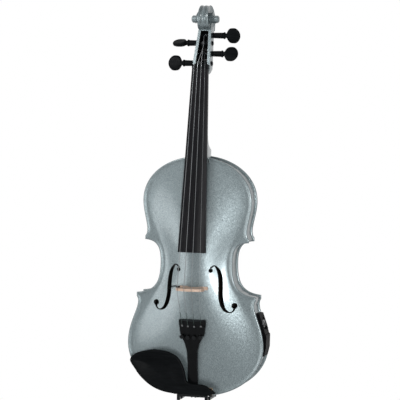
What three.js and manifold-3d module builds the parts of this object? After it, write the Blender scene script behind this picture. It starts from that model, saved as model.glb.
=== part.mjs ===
// Full-size electric violin with a hollow body, f-holes and a control panel in its side.
// Millimetres, +z up towards the scroll, +x towards the treble side, front facing -y.
// It is drawn from the bottom edge of the body (z = 0) and the front plate's edge (y = 0),
// and the whole instrument is then hung with its origin under the scroll.
import * as THREE from 'three';
import { mergeVertices } from 'three/addons/utils/BufferGeometryUtils.js';
import Module from 'manifold-3d';

const wasm = await Module();
wasm.setup();

// Clearances
const gap = 0.3;          // between pieces that are glued together or rest on each other
const runningGap = 0.1;   // round a shaft that turns in a hole
const overrun = 3;        // how far a cutting shape runs past what it cuts

// Body outline, seen from the front: widest and narrowest places and the tips of the corners
const bodyLength = 356;
const upperHalf = 83;
const waistHalf = 55;
const lowerHalf = 104;
const heightShares = {
  upperLine: 290 / 356, upperTip: 236.4 / 356, waistLine: 198 / 356,
  bridge: 163 / 356, lowerTip: 151.5 / 356, lowerLine: 77 / 356,
};
const upperLine = bodyLength * heightShares.upperLine;
const waistLine = bodyLength * heightShares.waistLine;
const lowerLine = bodyLength * heightShares.lowerLine;
const upperTipIn = 3.7;   // how far the tips stand inside the bout's widest place
const lowerTipIn = 12.7;
const upperTipHeight = 5.4;
const lowerTipHeight = 6;
const cornerRun = 8.6;    // how far a corner's outer side runs straight, across and up alike

// A corner's blunt tip: its place across and the heights of its two edges.
function cornerTip(x, top, height) {
  return { x, top, bottom: top - height };
}

const upperTip = cornerTip(upperHalf - upperTipIn, bodyLength * heightShares.upperTip, upperTipHeight);
const lowerTip = cornerTip(lowerHalf - lowerTipIn, bodyLength * heightShares.lowerTip, lowerTipHeight);

// Plates and ribs
const edgeThickness = 4;
const plateThickness = 3;
const ribHeight = 30;
const ribThickness = 1.2;
const overhang = 2.5;
const channelInset = 6.5;   // from the edge to the bottom of the channel round the plate
const channelDepth = 1.1;
const frontArch = 12;
const backArch = 11;
const platform = 9;       // flat gluing band inside the edge
const liningThickness = 2;
const liningHeight = 7;
const ribBack = edgeThickness + ribHeight;
const ribMiddle = edgeThickness + ribHeight / 2;

// Blocks
const neckBlockDepth = 16;
const neckBlockHalf = 27;
const endBlockDepth = 14;
const endBlockHalf = 23;
const cornerBlockReach = 13;

// Neck, board and nut
const neckLength = 130;   // from the body's top edge to the nut, along the board
const boardLength = 271;
const boardAngle = THREE.MathUtils.degToRad(6.6);
const boardNutHalf = 12;
const boardEndHalf = 21;
const boardRadius = 42;
const boardEdge = 5;
const overstand = 6;      // board's underside above the front plate's edge
const nutLength = 6;
const nutRise = 1.3;
const shaftDepth = 13;
const heelHeight = 32;    // over which the shaft deepens into the heel
const heelClear = 9;      // straight part of the heel above the ribs
const tenonDepth = 6;
const buttonRadius = 11;

// Pegbox and scroll
const eyeRise = 72;       // scroll's eye above the body's and the neck's lengths
const eyeHeight = bodyLength + neckLength + eyeRise;
const eyeSet = 32;        // how far behind the front plate's edge the scroll's eye lies
const eyeRadius = 5.5;
const eyeHalf = 20;
const voluteRadius = 24.5;
const pegboxHalf = 13.5;
const throatHalf = 9.4;
const cheekThickness = 4.4;
const floorThickness = 5.5;

// Pegs and their strings, by course
const pegHeadLength = 20;
const pegHeadHalf = 11.4;
const pegThin = 3.4;
const pegThick = 4.1;
const pegDown = { g: 65.2, d: 35.4, a: 23.8, e: 50.8 };         // below the scroll's eye
const pegSet = { g: 22.2, d: 31.8, a: 36.6, e: 26.6 };          // behind the front plate's edge
const pegReach = { g: 53.3, d: 49.5, a: 52.2, e: 51.8 };        // from the middle to the head's end
const stringDiameter = { g: 0.8, d: 0.8, a: 0.7, e: 0.4 };
const windingStart = { g: -1, d: 0.6, a: -1.4, e: 1.6 };        // where the string meets its peg, across
const headSides = { g: -1, d: -1, a: 1, e: 1 };
const headAngles = { g: 10, d: 65, a: -12, e: 24 };              // degrees the head is turned by
const courses = ['g', 'd', 'a', 'e'].map((name) => ({
  name, side: headSides[name], height: eyeHeight - pegDown[name], set: pegSet[name], reach: pegReach[name],
  wire: stringDiameter[name], wind: windingStart[name], turn: headAngles[name],
}));
const windingTurns = 3.5;
const windingSteps = 12;
const windingSides = 4;
const windingClear = 0.5; // least gap between neighbouring turns

// Bridge and strings
const bridgeHeight = bodyLength * heightShares.bridge;
const bridgeTop = 44.6;   // crown of the bridge in front of the plate's edge
const bridgeFootHalf = 21.3;
const bridgeThick = 5;
const bridgeThin = 3.6;
const bridgeSpread = 33.6;
const nutSpread = 16.4;
const tailSpread = 28.6;

// Tailpiece and its tuners
const tailBottom = 12;
const tailLength = 104;
const tailSet = 6.8;      // how far the tailpiece's lower end stands in front
const tailAngle = THREE.MathUtils.degToRad(9.3);
const tailHeadHalf = 20.7;
const tailCrown = 35;
const tailHeadDepth = 9;
const tailStemDepth = 5;
const tailWall = 2.2;
const pivotDown = 7.5;    // lever pivot below the tailpiece's upper end
const pivotUp = tailLength - pivotDown;
const pivotIn = 6;
const pivotRadius = 1;
const screwBelow = 16.1;
const screwUp = pivotUp - screwBelow;
const screwRadius = 1.5;
const screwHeadRadius = 3.3;
const screwHeadHeight = 4.2;
const leverWidth = 2.4;
const leverArm = 2.2;

// End button, saddle and tailgut
const endButtonRadius = 6.6;
const endButtonReach = 4.5;
const endButtonNeck = 3.4;
const endButtonCollar = 4.8;
const endPinRadius = 3.6;
const saddleHalf = 17;
const saddleDepth = 7;
const saddleTop = 3.6;
const gutRadius = 0.9;

// Chinrest and its clamp
const cupClear = 1;       // how much nearer to the middle than half its width the cup's centre is
const cupHalfWide = lowerHalf / 2 - cupClear;
const cupHalfTall = 34;
const cupCentre = { x: cupClear - cupHalfWide, z: 38 };
const cupThickness = 5;
const cupRim = 19.5;      // outer rim of the cup in front of the plate's edge
const cupDish = 6;
const armTop = 15.5;
const armBottom = 10;
const clampHalf = 21.3;   // from the middle to each barrel
const clampBelow = 3.4;   // barrels below the body's bottom edge
const barrelRadius = 2.9;
const rodRadius = 1.5;
const barrelLength = 30;
const footThickness = 2;
const corkThickness = 2.2;

// Control panel in the lower treble rib
const panelDown = 19;     // below the corner
const panelTop = lowerTip.bottom - panelDown;
const panelTall = 62.5;
const panelBottom = panelTop - panelTall;
const panelMargin = 2.5;
const panelWidth = ribHeight - 2 * panelMargin;
const panelProud = 6.4;
const doorDown = 30.5;    // below the panel's top
const doorTall = 28.6;
const doorTop = panelTop - doorDown;
const doorBottom = doorTop - doorTall;
const doorThickness = 2;
const doorProudTop = 7.6;
const doorProudFoot = 4.2;
const doorWidth = 21.6;
const hingeRadius = 1.1;
const batterySize = { x: 48.5, y: 17.5, z: 26.5 };
const batteryRoom = 0.3;
const boxWall = 1.2;
const batteryDown = 44.9;
const batteryMiddle = panelTop - batteryDown;
const wheelRadius = 6;
const wheelWidth = 3.6;
const wheelProud = 1.3;
const wheelPin = 1.4;
const wheelBehind = 6.5;  // behind the middle of the ribs
const wheelSet = ribMiddle + wheelBehind;
const volumeDown = 22;    // below the panel's top
const toneDown = 8.1;
const wheelHeights = { volume_wheel: panelTop - volumeDown, tone_wheel: panelTop - toneDown };
const jackSleeve = 4.7;
const jackBody = 6;
const jackNut = 6.6;
const jackBore = 3.3;
const jackDepth = 24;
const jackBoreDepth = 21.5;
const jackReach = 3.4;    // how far the socket's mouth stands out of its seat
const jackNutHeight = 2;
const jackDown = 15.5;
const jackHeight = panelTop - jackDown;
const jackAhead = 4.4;    // in front of the middle of the ribs
const jackSet = ribMiddle - jackAhead;
const trayWidth = 20.5;
const trayReach = 20.5;   // inwards from the lower bout's widest place
const trayBack = lowerHalf - trayReach;
const circuitThickness = 1.6;

// Origin: the place under the scroll's ears where a hanger holds the head
const hangerDrop = 7;
const hangerAhead = 5;
const hangerHeight = eyeHeight - hangerDrop;
const hangerSet = eyeSet - hangerAhead;

const flake = { color: 0xb4b8ba, roughness: 0.3, metalness: 0.6 };
const ebony = { color: 0x17171a, roughness: 0.45, metalness: 0 };
const plastic = { color: 0x101012, roughness: 0.35, metalness: 0 };
const maple = { color: 0xd9a98a, roughness: 0.6, metalness: 0 };
const spruce = { color: 0xd8bd8c, roughness: 0.7, metalness: 0 };
const steel = { color: 0xb9bcc0, roughness: 0.25, metalness: 1 };
const chrome = { color: 0xdfe2e6, roughness: 0.1, metalness: 1 };
const corkLook = { color: 0xa27848, roughness: 0.9, metalness: 0 };
const circuit = { color: 0x1d4a2c, roughness: 0.5, metalness: 0 };
const foil = { color: 0x3a3d42, roughness: 0.4, metalness: 0.2 };

const violin = new THREE.Group();
violin.position.set(0, -hangerSet, -hangerHeight);

const pointXY = (x, y) => new THREE.Vector2(x, y);
const point = (x, y, z) => new THREE.Vector3(x, y, z);
const mix = THREE.MathUtils.lerp;

// Solids: closed meshes to and from the boolean library

function solidOf(geometry) {
  const merged = closedOf(geometry);
  return new wasm.Manifold(new wasm.Mesh({
    numProp: 3,
    vertProperties: Float32Array.from(merged.attributes.position.array),
    triVerts: Uint32Array.from(merged.index.array),
  }));
}

function geometryOf(solid) {
  const mesh = solid.getMesh();
  const geometry = new THREE.BufferGeometry();
  geometry.setAttribute('position', new THREE.BufferAttribute(mesh.vertProperties, 3));
  geometry.setIndex(new THREE.BufferAttribute(mesh.triVerts, 1));
  return geometry;
}

function joined(first, ...others) {
  return geometryOf(others.reduce((solid, other) => solid.add(solidOf(other)), solidOf(first)));
}

function cut(first, ...tools) {
  return geometryOf(tools.reduce((solid, tool) => solid.subtract(solidOf(tool)), solidOf(first)));
}

function moved(geometry, x, y, z) {
  return geometry.clone().translate(x, y, z);
}

// Shapes

// A closed body from rings of equally many points, capped at both ends.
function loft(rings) {
  const count = rings[0].length;
  const places = rings.flat().map((p) => [p.x, p.y, p.z]);
  const faces = [];
  for (let ring = 0; ring + 1 < rings.length; ring++) {
    for (let i = 0; i < count; i++) {
      const a = ring * count + i;
      const b = ring * count + (i + 1) % count;
      faces.push([a, b, b + count], [a, b + count, a + count]);
    }
  }
  for (const end of [0, rings.length - 1]) {
    const middle = rings[end].reduce((sum, p) => sum.add(p), point(0, 0, 0)).divideScalar(count);
    const hub = places.push([middle.x, middle.y, middle.z]) - 1;
    for (let i = 0; i < count; i++) {
      const a = end * count + i;
      const b = end * count + (i + 1) % count;
      faces.push(end === 0 ? [b, a, hub] : [a, b, hub]);
    }
  }
  return closedMesh(places, faces);
}

// A geometry from places and faces, with its faces turned outwards and empty ones left out.
function closedMesh(places, faces) {
  const geometry = new THREE.BufferGeometry();
  geometry.setAttribute('position', new THREE.Float32BufferAttribute(places.flat(), 3));
  const volume = faces.reduce((sum, [a, b, c]) => {
    const [p, q, r] = [places[a], places[b], places[c]];
    return sum + p[0] * (q[1] * r[2] - q[2] * r[1])
      + p[1] * (q[2] * r[0] - q[0] * r[2])
      + p[2] * (q[0] * r[1] - q[1] * r[0]);
  }, 0);
  const outward = volume > 0 ? faces : faces.map(([a, b, c]) => [a, c, b]);
  geometry.setIndex(outward.flat());
  const merged = mergeVertices(geometry, 1e-4);
  const index = merged.index.array;
  const kept = [];
  for (let i = 0; i < index.length; i += 3) {
    const [a, b, c] = [index[i], index[i + 1], index[i + 2]];
    if (a !== b && b !== c && c !== a) kept.push(a, b, c);
  }
  merged.setIndex(kept);
  return merged;
}

// Another geometry made into such a closed mesh.
function closedOf(geometry) {
  const bare = geometry.index ? geometry.toNonIndexed() : geometry.clone();
  bare.deleteAttribute('normal');
  bare.deleteAttribute('uv');
  const spots = bare.attributes.position;
  const places = Array.from({ length: spots.count }, (_, i) => [spots.getX(i), spots.getY(i), spots.getZ(i)]);
  const faces = Array.from({ length: spots.count / 3 }, (_, i) => [3 * i, 3 * i + 1, 3 * i + 2]);
  return closedMesh(places, faces);
}

// An outline seen from the front, as (x, z) points, given thickness from y = near to y = far.
function frontSlab(outline, near, far) {
  const shape = new THREE.Shape(outline.map((p) => pointXY(p.x, p.y)));
  const slab = new THREE.ExtrudeGeometry(shape, { depth: far - near, bevelEnabled: false });
  return slab.rotateX(Math.PI / 2).translate(0, far, 0);
}

// An outline seen from the side, as (y, z) points, given thickness from x = left to x = right.
function sideSlab(outline, left, right) {
  const shape = new THREE.Shape(outline.map((p) => pointXY(p.x, p.y)));
  const slab = new THREE.ExtrudeGeometry(shape, { depth: right - left, bevelEnabled: false });
  const turn = new THREE.Matrix4().makeBasis(point(0, 1, 0), point(0, 0, 1), point(1, 0, 0));
  return slab.applyMatrix4(turn).translate(left, 0, 0);
}

// An outline seen from above, as (x, y) points, given height from z = low to z = high.
function flatSlab(outline, low, high) {
  const shape = new THREE.Shape(outline.map((p) => pointXY(p.x, p.y)));
  return new THREE.ExtrudeGeometry(shape, { depth: high - low, bevelEnabled: false }).translate(0, 0, low);
}

function block(x, y, z) {
  const size = [x, y, z].map(([low, high]) => high - low);
  const middle = [x, y, z].map(([low, high]) => (low + high) / 2);
  return new THREE.BoxGeometry(...size).translate(...middle);
}

// A round rod or cone between two points.
function rod(from, to, radius, endRadius = radius, sides = 16) {
  const along = to.clone().sub(from);
  const shape = new THREE.CylinderGeometry(endRadius, radius, along.length(), sides);
  const turn = new THREE.Quaternion().setFromUnitVectors(point(0, 1, 0), along.clone().normalize());
  const middle = from.clone().add(to).divideScalar(2);
  return shape.applyQuaternion(turn).translate(middle.x, middle.y, middle.z);
}

// A hole for a shaft: its flats clear the shaft's corners.
function bore(from, to, radius, endRadius = radius, sides = 24) {
  const spread = 1 / Math.cos(Math.PI / sides);
  return rod(from, to, radius * spread, endRadius * spread, sides);
}

// A turned body: profile of (radius, distance) points along an axis that starts at a point.
function turned(profile, start, direction, sides = 20) {
  const shape = new THREE.LatheGeometry(profile.map((p) => pointXY(p[0], p[1])), sides);
  const turn = new THREE.Quaternion().setFromUnitVectors(point(0, 1, 0), direction.clone().normalize());
  return closedOf(shape.applyQuaternion(turn).translate(start.x, start.y, start.z));
}

// A wire through points, with a round section at each one.
function wire(points, radius, sides = 6) {
  let across = null;
  const rings = points.map((p, i) => {
    const before = points[Math.max(i - 1, 0)];
    const after = points[Math.min(i + 1, points.length - 1)];
    const along = after.clone().sub(before).normalize();
    const guess = across ?? (Math.abs(along.x) < 0.8 ? point(1, 0, 0) : point(0, 1, 0));
    across = guess.clone().addScaledVector(along, -guess.dot(along)).normalize();
    const other = along.clone().cross(across);
    return Array.from({ length: sides }, (_, k) => {
      const angle = 2 * Math.PI * k / sides;
      return p.clone()
        .addScaledVector(across, radius * Math.cos(angle))
        .addScaledVector(other, radius * Math.sin(angle));
    });
  });
  return loft(rings);
}

function piece(name, geometry, look, parent = violin) {
  const mesh = new THREE.Mesh(geometry, new THREE.MeshStandardMaterial(look));
  mesh.name = name;
  parent.add(mesh);
  return mesh;
}

// Outline of the body: six curves down the treble side, from the top to the bottom

const handleShares = {
  topOut: 0.51, shoulderUp: 0.61, upperDown: 0.41,
  waistIn: 0.29, waistTop: 0.73, waistBottom: 0.69, lowerIn: 0.25,
  lowerNeck: 0.1, lowerNeckDown: 0.17, lowerUp: 0.48, hipDown: 0.555, bottomIn: 0.596,
};

function bend(...points) {
  return new THREE.CubicBezierCurve(...points.map(([x, z]) => pointXY(x, z)));
}

function bodyCurves() {
  const share = handleShares;
  const top = bend(
    [0, bodyLength],
    [upperHalf * share.topOut, bodyLength],
    [upperHalf, mix(upperLine, bodyLength, share.shoulderUp)],
    [upperHalf, upperLine],
  );
  const upperSide = bend(
    [upperHalf, upperLine],
    [upperHalf, mix(upperLine, upperTip.top, share.upperDown)],
    [upperTip.x - cornerRun, upperTip.top + cornerRun],
    [upperTip.x, upperTip.top],
  );
  const waistUpper = bend(
    [upperTip.x, upperTip.bottom],
    [mix(waistHalf, upperTip.x, share.waistIn), upperTip.bottom - channelDepth],
    [waistHalf, mix(waistLine, upperTip.bottom, share.waistTop)],
    [waistHalf, waistLine],
  );
  const waistLower = bend(
    [waistHalf, waistLine],
    [waistHalf, mix(waistLine, lowerTip.top, share.waistBottom)],
    [mix(waistHalf, lowerTip.x, share.lowerIn), lowerTip.top + overhang],
    [lowerTip.x, lowerTip.top],
  );
  const lowerSide = bend(
    [lowerTip.x, lowerTip.bottom],
    [lowerTip.x * (1 - share.lowerNeck), mix(lowerTip.bottom, lowerLine, share.lowerNeckDown)],
    [lowerHalf, mix(lowerLine, lowerTip.bottom, share.lowerUp)],
    [lowerHalf, lowerLine],
  );
  const bottom = bend(
    [lowerHalf, lowerLine],
    [lowerHalf, lowerLine * (1 - share.hipDown)],
    [lowerHalf * share.bottomIn, 0],
    [0, 0],
  );
  return { top, upperSide, waistUpper, waistLower, lowerSide, bottom };
}

const curves = bodyCurves();
const curveSteps = { top: 8, upperSide: 5, waistUpper: 5, waistLower: 5, lowerSide: 6, bottom: 9 };

function halfOutline() {
  const points = Object.keys(curveSteps).flatMap((name) => curves[name].getPoints(curveSteps[name]));
  return points.filter((p, i) => i === 0 || p.distanceTo(points[i - 1]) > gap);
}

const outline = halfOutline();

// Distance inwards from the outline to a point of the plate.
function inward(x, z) {
  const spot = pointXY(Math.abs(x), z);
  let least = Infinity;
  for (let i = 0; i + 1 < outline.length; i++) {
    const side = outline[i + 1].clone().sub(outline[i]);
    const reach = spot.clone().sub(outline[i]).dot(side) / side.lengthSq();
    const foot = outline[i].clone().addScaledVector(side, THREE.MathUtils.clamp(reach, 0, 1));
    least = Math.min(least, foot.distanceTo(spot));
  }
  return least;
}

// Points along some curves, moved inwards by an inset that may change with the height.
function insetPath(names, inset) {
  const insetAt = typeof inset === 'function' ? inset : () => inset;
  const points = [];
  for (const name of names) {
    const steps = curveSteps[name];
    for (let i = 0; i <= steps; i++) {
      const place = curves[name].getPoint(i / steps);
      const along = curves[name].getTangent(i / steps);
      const spot = place.add(pointXY(along.y, -along.x).multiplyScalar(insetAt(place.y)));
      if (points.length === 0 || spot.distanceTo(points.at(-1)) > gap) points.push(spot);
    }
  }
  return points;
}

// A path carried straight on past one end.
function extended(path, atStart, reach) {
  const [end, next] = atStart ? [path[0], path[1]] : [path.at(-1), path.at(-2)];
  const further = end.clone().addScaledVector(end.clone().sub(next).normalize(), reach);
  return atStart ? [further, ...path] : [...path, further];
}

// Where two paths cross, with the number of the leg on each.
function crossing(first, second) {
  for (let i = first.length - 2; i >= 0; i--) {
    for (let k = 0; k + 1 < second.length; k++) {
      const a = first[i];
      const along = first[i + 1].clone().sub(a);
      const b = second[k];
      const other = second[k + 1].clone().sub(b);
      const det = along.x * other.y - along.y * other.x;
      const apart = b.clone().sub(a);
      const t = (apart.x * other.y - apart.y * other.x) / det;
      const s = (apart.x * along.y - apart.y * along.x) / det;
      if (t >= 0 && t <= 1 && s >= 0 && s <= 1) {
        return { place: a.clone().addScaledVector(along, t), first: i, second: k };
      }
    }
  }
  throw new Error('the two sides of a corner do not meet');
}

// The two sides of a corner at an inset, each ending where they meet.
function cornerSides(above, below, inset) {
  const reach = cornerBlockReach;
  const first = extended(insetPath(above, inset), false, reach);
  const second = extended(insetPath(below, inset), true, reach);
  const meet = crossing(first, second);
  return {
    above: [...first.slice(0, meet.first + 1), meet.place],
    below: [meet.place.clone(), ...second.slice(meet.second + 1)],
  };
}

function mirrored(points, side) {
  return points.map((p) => pointXY(p.x * side, p.y));
}

// Plates

const columnShares = [0, 0.055, 0.12, 0.3, 0.6, 1];

// Height of the arch along the middle of a plate.
function longArch(z, apex) {
  const middle = bodyLength / 2;
  const fromMiddle = Math.min(1, Math.abs(z - middle) / (middle - channelInset));
  return (apex + channelDepth) * (1 - fromMiddle ** longArchShare) - channelDepth;
}

const longArchShare = 2.6;
const crossArchShare = 0.75;

// Half the width of the body as the arching sees it: its bouts and waist without the corners.
function archHalf(z) {
  if (z > lowerLine && z < upperLine) {
    const [line, half] = z > waistLine ? [upperLine, upperHalf] : [lowerLine, lowerHalf];
    return mix(waistHalf, half, THREE.MathUtils.smoothstep(Math.abs(z - waistLine), 0, Math.abs(line - waistLine)));
  }
  const i = outline.findIndex((p) => p.y <= z);
  if (i < 1) return 0;
  const share = (outline[i - 1].y - z) / (outline[i - 1].y - outline[i].y);
  return mix(outline[i - 1].x, outline[i].x, share);
}

// How far a plate's outer face stands beyond its edge: a channel round the edge, the arch inside.
function archHeight(x, z, apex) {
  const share = Math.min(1, inward(x, z) / channelInset);
  const channel = channelDepth * (1 - Math.cos(Math.PI * share)) / 2;
  const across = 1 - Math.abs(x) / Math.max(archHalf(z) - channelInset, channelInset);
  const rise = (1 - Math.cos(Math.PI * Math.max(0, across) ** crossArchShare)) / 2;
  const fade = THREE.MathUtils.smoothstep(share, 0, 1);
  return Math.max(0, longArch(z, apex) + channelDepth) * rise * fade - channel;
}

// Inner face: flat where ribs and blocks are glued, hollowed elsewhere.
function hollowHeight(x, z, apex) {
  const inside = Math.min(
    inward(x, z) - platform,
    z - overhang - ribThickness - endBlockDepth,
    bodyLength - overhang - ribThickness - neckBlockDepth - z,
  );
  const outer = archHeight(x, z, apex);
  return Math.max(-edgeThickness, Math.min(outer - plateThickness, inside * 0.5 - edgeThickness));
}

function archedPlate(apex) {
  const halves = columnShares.map((share) => -share).concat(columnShares.slice(0, -1).reverse());
  const columns = halves.length;
  const places = [];
  const rowOf = (p, height) => {
    const base = Math.min(p.x, waistHalf);
    for (let i = 0; i < columns; i++) {
      const side = i < columnShares.length ? -1 : 1;
      const share = Math.abs(halves[i]);
      const inset = share * mix(base, p.x, share);
      const x = side * (p.x - inset);
      places.push([x, -height(x, p.y, apex), p.y]);
    }
  };
  outline.forEach((p) => rowOf(p, archHeight));
  outline.forEach((p) => rowOf(p, hollowHeight));
  const faces = [];
  const rows = outline.length;
  const at = (layer, row, column) => (layer * rows + row) * columns + column;
  for (let row = 0; row + 1 < rows; row++) {
    for (let column = 0; column + 1 < columns; column++) {
      const mirror = column < columns / 2 - 1;
      for (const layer of [0, 1]) {
        const [a, b] = [at(layer, row, column), at(layer, row, column + 1)];
        const [c, d] = [at(layer, row + 1, column), at(layer, row + 1, column + 1)];
        const pair = mirror ? [[a, b, c], [b, d, c]] : [[a, b, d], [a, d, c]];
        faces.push(...(layer === 0 ? pair : pair.map(([p, q, r]) => [p, r, q])));
      }
    }
    for (const [column, order] of [[0, 0], [columns - 1, 1]]) {
      const [a, b] = [at(0, row, column), at(0, row + 1, column)];
      const [c, d] = [at(1, row, column), at(1, row + 1, column)];
      const pair = [[a, b, d], [a, d, c]];
      faces.push(...(order === 0 ? pair : pair.map(([p, q, r]) => [p, r, q])));
    }
  }
  for (const row of [0, rows - 1]) {
    for (let column = 0; column + 1 < columns; column++) {
      const [a, b] = [at(0, row, column), at(0, row, column + 1)];
      const [c, d] = [at(1, row, column), at(1, row, column + 1)];
      const pair = [[a, d, b], [a, c, d]];
      faces.push(...(row === 0 ? pair : pair.map(([p, q, r]) => [p, r, q])));
    }
  }
  return closedMesh(places, faces);
}

// f-holes: a slit that swells in the stem, with a round eye at each end and two nicks
const slitHalf = 3.4;
const slitReach = { left: 21.4, right: 63.6, below: 35, above: 34.4 };   // from the bridge's place
const slitShares = [
  [0.05, 0.93, 0.4], [0.19, 0.985, 0.28], [0.31, 0.905, 0.68], [0.38, 0.79, 0.9], [0.41, 0.66, 0.98],
  [0.42, 0.53, 1], [0.425, 0.4, 1], [0.445, 0.28, 1], [0.5, 0.15, 0.9], [0.6, 0.045, 0.66], [0.755, 0, 0.28],
  [0.87, 0.03, 0.34], [0.92, 0.1, 0.5],
];
const upperEye = { x: 24.4, rise: 26.2, radius: 3.1 };
const lowerEye = { x: 59.8, rise: -25, radius: 4.3 };
const nick = 1.7;

function slitMiddle() {
  const { left, right, below, above } = slitReach;
  return slitShares.map(([across, up]) =>
    pointXY(mix(left, right, across), bridgeHeight + mix(-below, above, up)));
}

function slitOutline() {
  const middle = new THREE.SplineCurve(slitMiddle());
  const width = new THREE.SplineCurve(slitShares.map(([, , share]) => pointXY(share * slitHalf, 0)));
  const steps = 20;
  const sides = [[], []];
  for (let i = 0; i <= steps; i++) {
    const place = middle.getPoint(i / steps);
    const along = middle.getTangent(i / steps);
    const half = width.getPoint(i / steps).x;
    const across = pointXY(along.y, -along.x).multiplyScalar(half);
    sides[0].push(place.clone().add(across));
    sides[1].push(place.clone().sub(across));
  }
  return [...sides[0], ...sides[1].reverse()];
}

function slitCutters(side) {
  const near = -frontArch - overrun;
  const far = edgeThickness;
  const round = ({ x, rise, radius }) => bore(point(side * x, near, bridgeHeight + rise),
    point(side * x, far, bridgeHeight + rise), radius, radius, 16);
  const stem = slitMiddle()[5];
  const wing = slitHalf + nick;
  const nicks = [[-wing, 0], [0, nick / 2], [wing, 0], [0, -nick / 2]]
    .map(([x, z]) => pointXY(side * (stem.x + x), stem.y + z));
  return [frontSlab(mirrored(slitOutline(), side), near, far), round(upperEye), round(lowerEye),
    frontSlab(nicks, near, far)];
}

// Neck root and heel: half-oval sections, flat where they meet the back plate's button

function boardFrontAt(z) {
  const root = bodyLength;
  return overstand + (root - z) * Math.tan(boardAngle);
}

const nutHeight = bodyLength + neckLength * Math.cos(boardAngle);
const boardUnderNut = boardFrontAt(nutHeight);

function boardHalfAt(z) {
  return mix(boardNutHalf, boardEndHalf, (nutHeight - z) / (boardLength * Math.cos(boardAngle)));
}

function neckSection(z, depth, grow = 0) {
  const front = boardFrontAt(Math.max(z, bodyLength - tenonDepth - overhang)) - gap + grow;
  const half = boardHalfAt(z) - gap + grow;
  const steps = 10;
  const ring = [];
  for (let i = 0; i <= steps; i++) {
    const angle = Math.PI * i / steps;
    const back = Math.min(ribBack, (depth + grow) * Math.sin(angle) ** 0.85 - front);
    ring.push(point(half * Math.cos(angle), i === 0 || i === steps ? -front : back, z));
  }
  return ring;
}

function heelDepth(z) {
  const full = ribBack + overstand + shaftDepth;
  const share = THREE.MathUtils.clamp((bodyLength + heelClear + heelHeight - z) / heelHeight, 0, 1);
  return mix(shaftDepth, full, share ** 3);
}

function neckRoot(grow) {
  const low = bodyLength - overhang - tenonDepth - grow;
  const high = bodyLength + heelClear;
  const depth = heelDepth(high);
  return loft([neckSection(low, depth, grow), neckSection(high, depth, grow)]);
}

function neckShaft() {
  const straight = bodyLength + heelClear;
  const heights = [0, 0.1, 0.22, 0.36, 0.55, 0.78, 1].map((share) => straight + share * heelHeight);
  heights.push(mix(straight + heelHeight, nutHeight, 0.5), nutHeight - nutLength, nutHeight + nutLength);
  return loft([bodyLength - overhang - tenonDepth, ...heights].map((z) => neckSection(z, heelDepth(z))));
}

// Pegbox: level sections with a rounded back, leaning back from the nut to the throat
const chinLength = 8;      // over which the neck's back runs into the pegbox's
const pegboxLow = nutHeight - chinLength;
const throatDown = 17;     // below the scroll's eye
const spineDown = 11;
const spineTopDown = 2;
const throatHeight = eyeHeight - throatDown;
const throatSet = 28;
const chinSet = 33;
const spineSet = 52.5;
const spineHeight = eyeHeight - spineDown;
const spineTop = eyeHeight - spineTopDown;   // the spine runs on up inside the scroll
const pocketStart = 2.3;   // the hollow reaches down under the nut, behind a shelf of wood
const shelfThickness = 5;

function pegboxFront(z) {
  const shelf = nutHeight + nutLength;
  const lean = Math.max(0, (z - shelf) / (throatHeight - shelf));
  return mix(boardFrontAt(Math.min(z, shelf)) - gap, -throatSet, lean);
}

function pegboxBack(z) {
  const chin = THREE.MathUtils.clamp((z - pegboxLow) / nutLength, 0, 1);
  const neckBack = shaftDepth - boardUnderNut;
  const lean = (Math.min(z, spineHeight) - nutHeight) / (spineHeight - nutHeight);
  const inside = Math.max(0, z - spineHeight) / 2;
  return -mix(neckBack, mix(chinSet, spineSet, lean) - inside, chin ** 0.6);
}

function pegboxHalfAt(z) {
  const share = Math.min(1, (z - nutHeight) / (spineHeight - nutHeight));
  return z < nutHeight
    ? mix(boardNutHalf, pegboxHalf, Math.max(0, (z - pegboxLow) / (nutHeight - pegboxLow)))
    : mix(pegboxHalf, throatHalf, share);
}

function pegboxSection(z) {
  const front = pegboxFront(z);
  const back = pegboxBack(z);
  const half = pegboxHalfAt(z);
  const corner = Math.min(half, front - back) * 0.6;
  const ring = [point(half, -front, z)];
  const steps = 4;
  for (const side of [1, -1]) {
    for (let i = 0; i <= steps; i++) {
      const angle = Math.PI / 2 * (side > 0 ? i : steps - i) / steps;
      const x = half - corner * (1 - Math.cos(angle));
      const y = -back - corner * (1 - Math.sin(angle));
      ring.push(point(side * x, y, z));
    }
  }
  ring.push(point(-half, -front, z));
  return ring;
}

function pegboxOuter() {
  const heights = [0, 0.25, 0.5, 0.75, 1].map((share) => mix(pegboxLow, nutHeight, share));
  heights.push(...[0.25, 0.5, 0.75, 1].map((share) => mix(nutHeight, spineHeight, share)), spineTop);
  return loft(heights.map(pegboxSection));
}

function pegboxHollow() {
  const low = nutHeight + pocketStart;
  const shelf = nutHeight + nutLength + gap;
  const high = throatHeight - gap;
  const section = (z, roof) => {
    const half = pegboxHalfAt(z) - cheekThickness;
    const floor = -pegboxBack(z) - floorThickness;
    return [point(half, roof, z), point(half, floor - half / 2, z), point(half / 2, floor, z),
      point(-half / 2, floor, z), point(-half, floor - half / 2, z), point(-half, roof, z)];
  };
  const under = -boardUnderNut + shelfThickness;
  const open = boardUnderNut - overrun;
  return loft([section(low, under), section(shelf, under), section(shelf + gap, open),
    section(mix(low, high, 0.5), open), section(high, open)]);
}

// Scroll: two turns that shrink towards the eye and step out to the ears, with fluted rims
const voluteTurns = 2;
const voluteStart = THREE.MathUtils.degToRad(210);
const voluteSteps = 16;
const tightenShare = 1.2;
const leadShare = 0.02;
const grooveShare = 0.4;   // place of each groove between the middle of the rim and its edge
const fluteDepth = 1.1;

function voluteRadiusAt(share) {
  return mix(eyeRadius - gap, voluteRadius, (1 - share) ** tightenShare);
}

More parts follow.
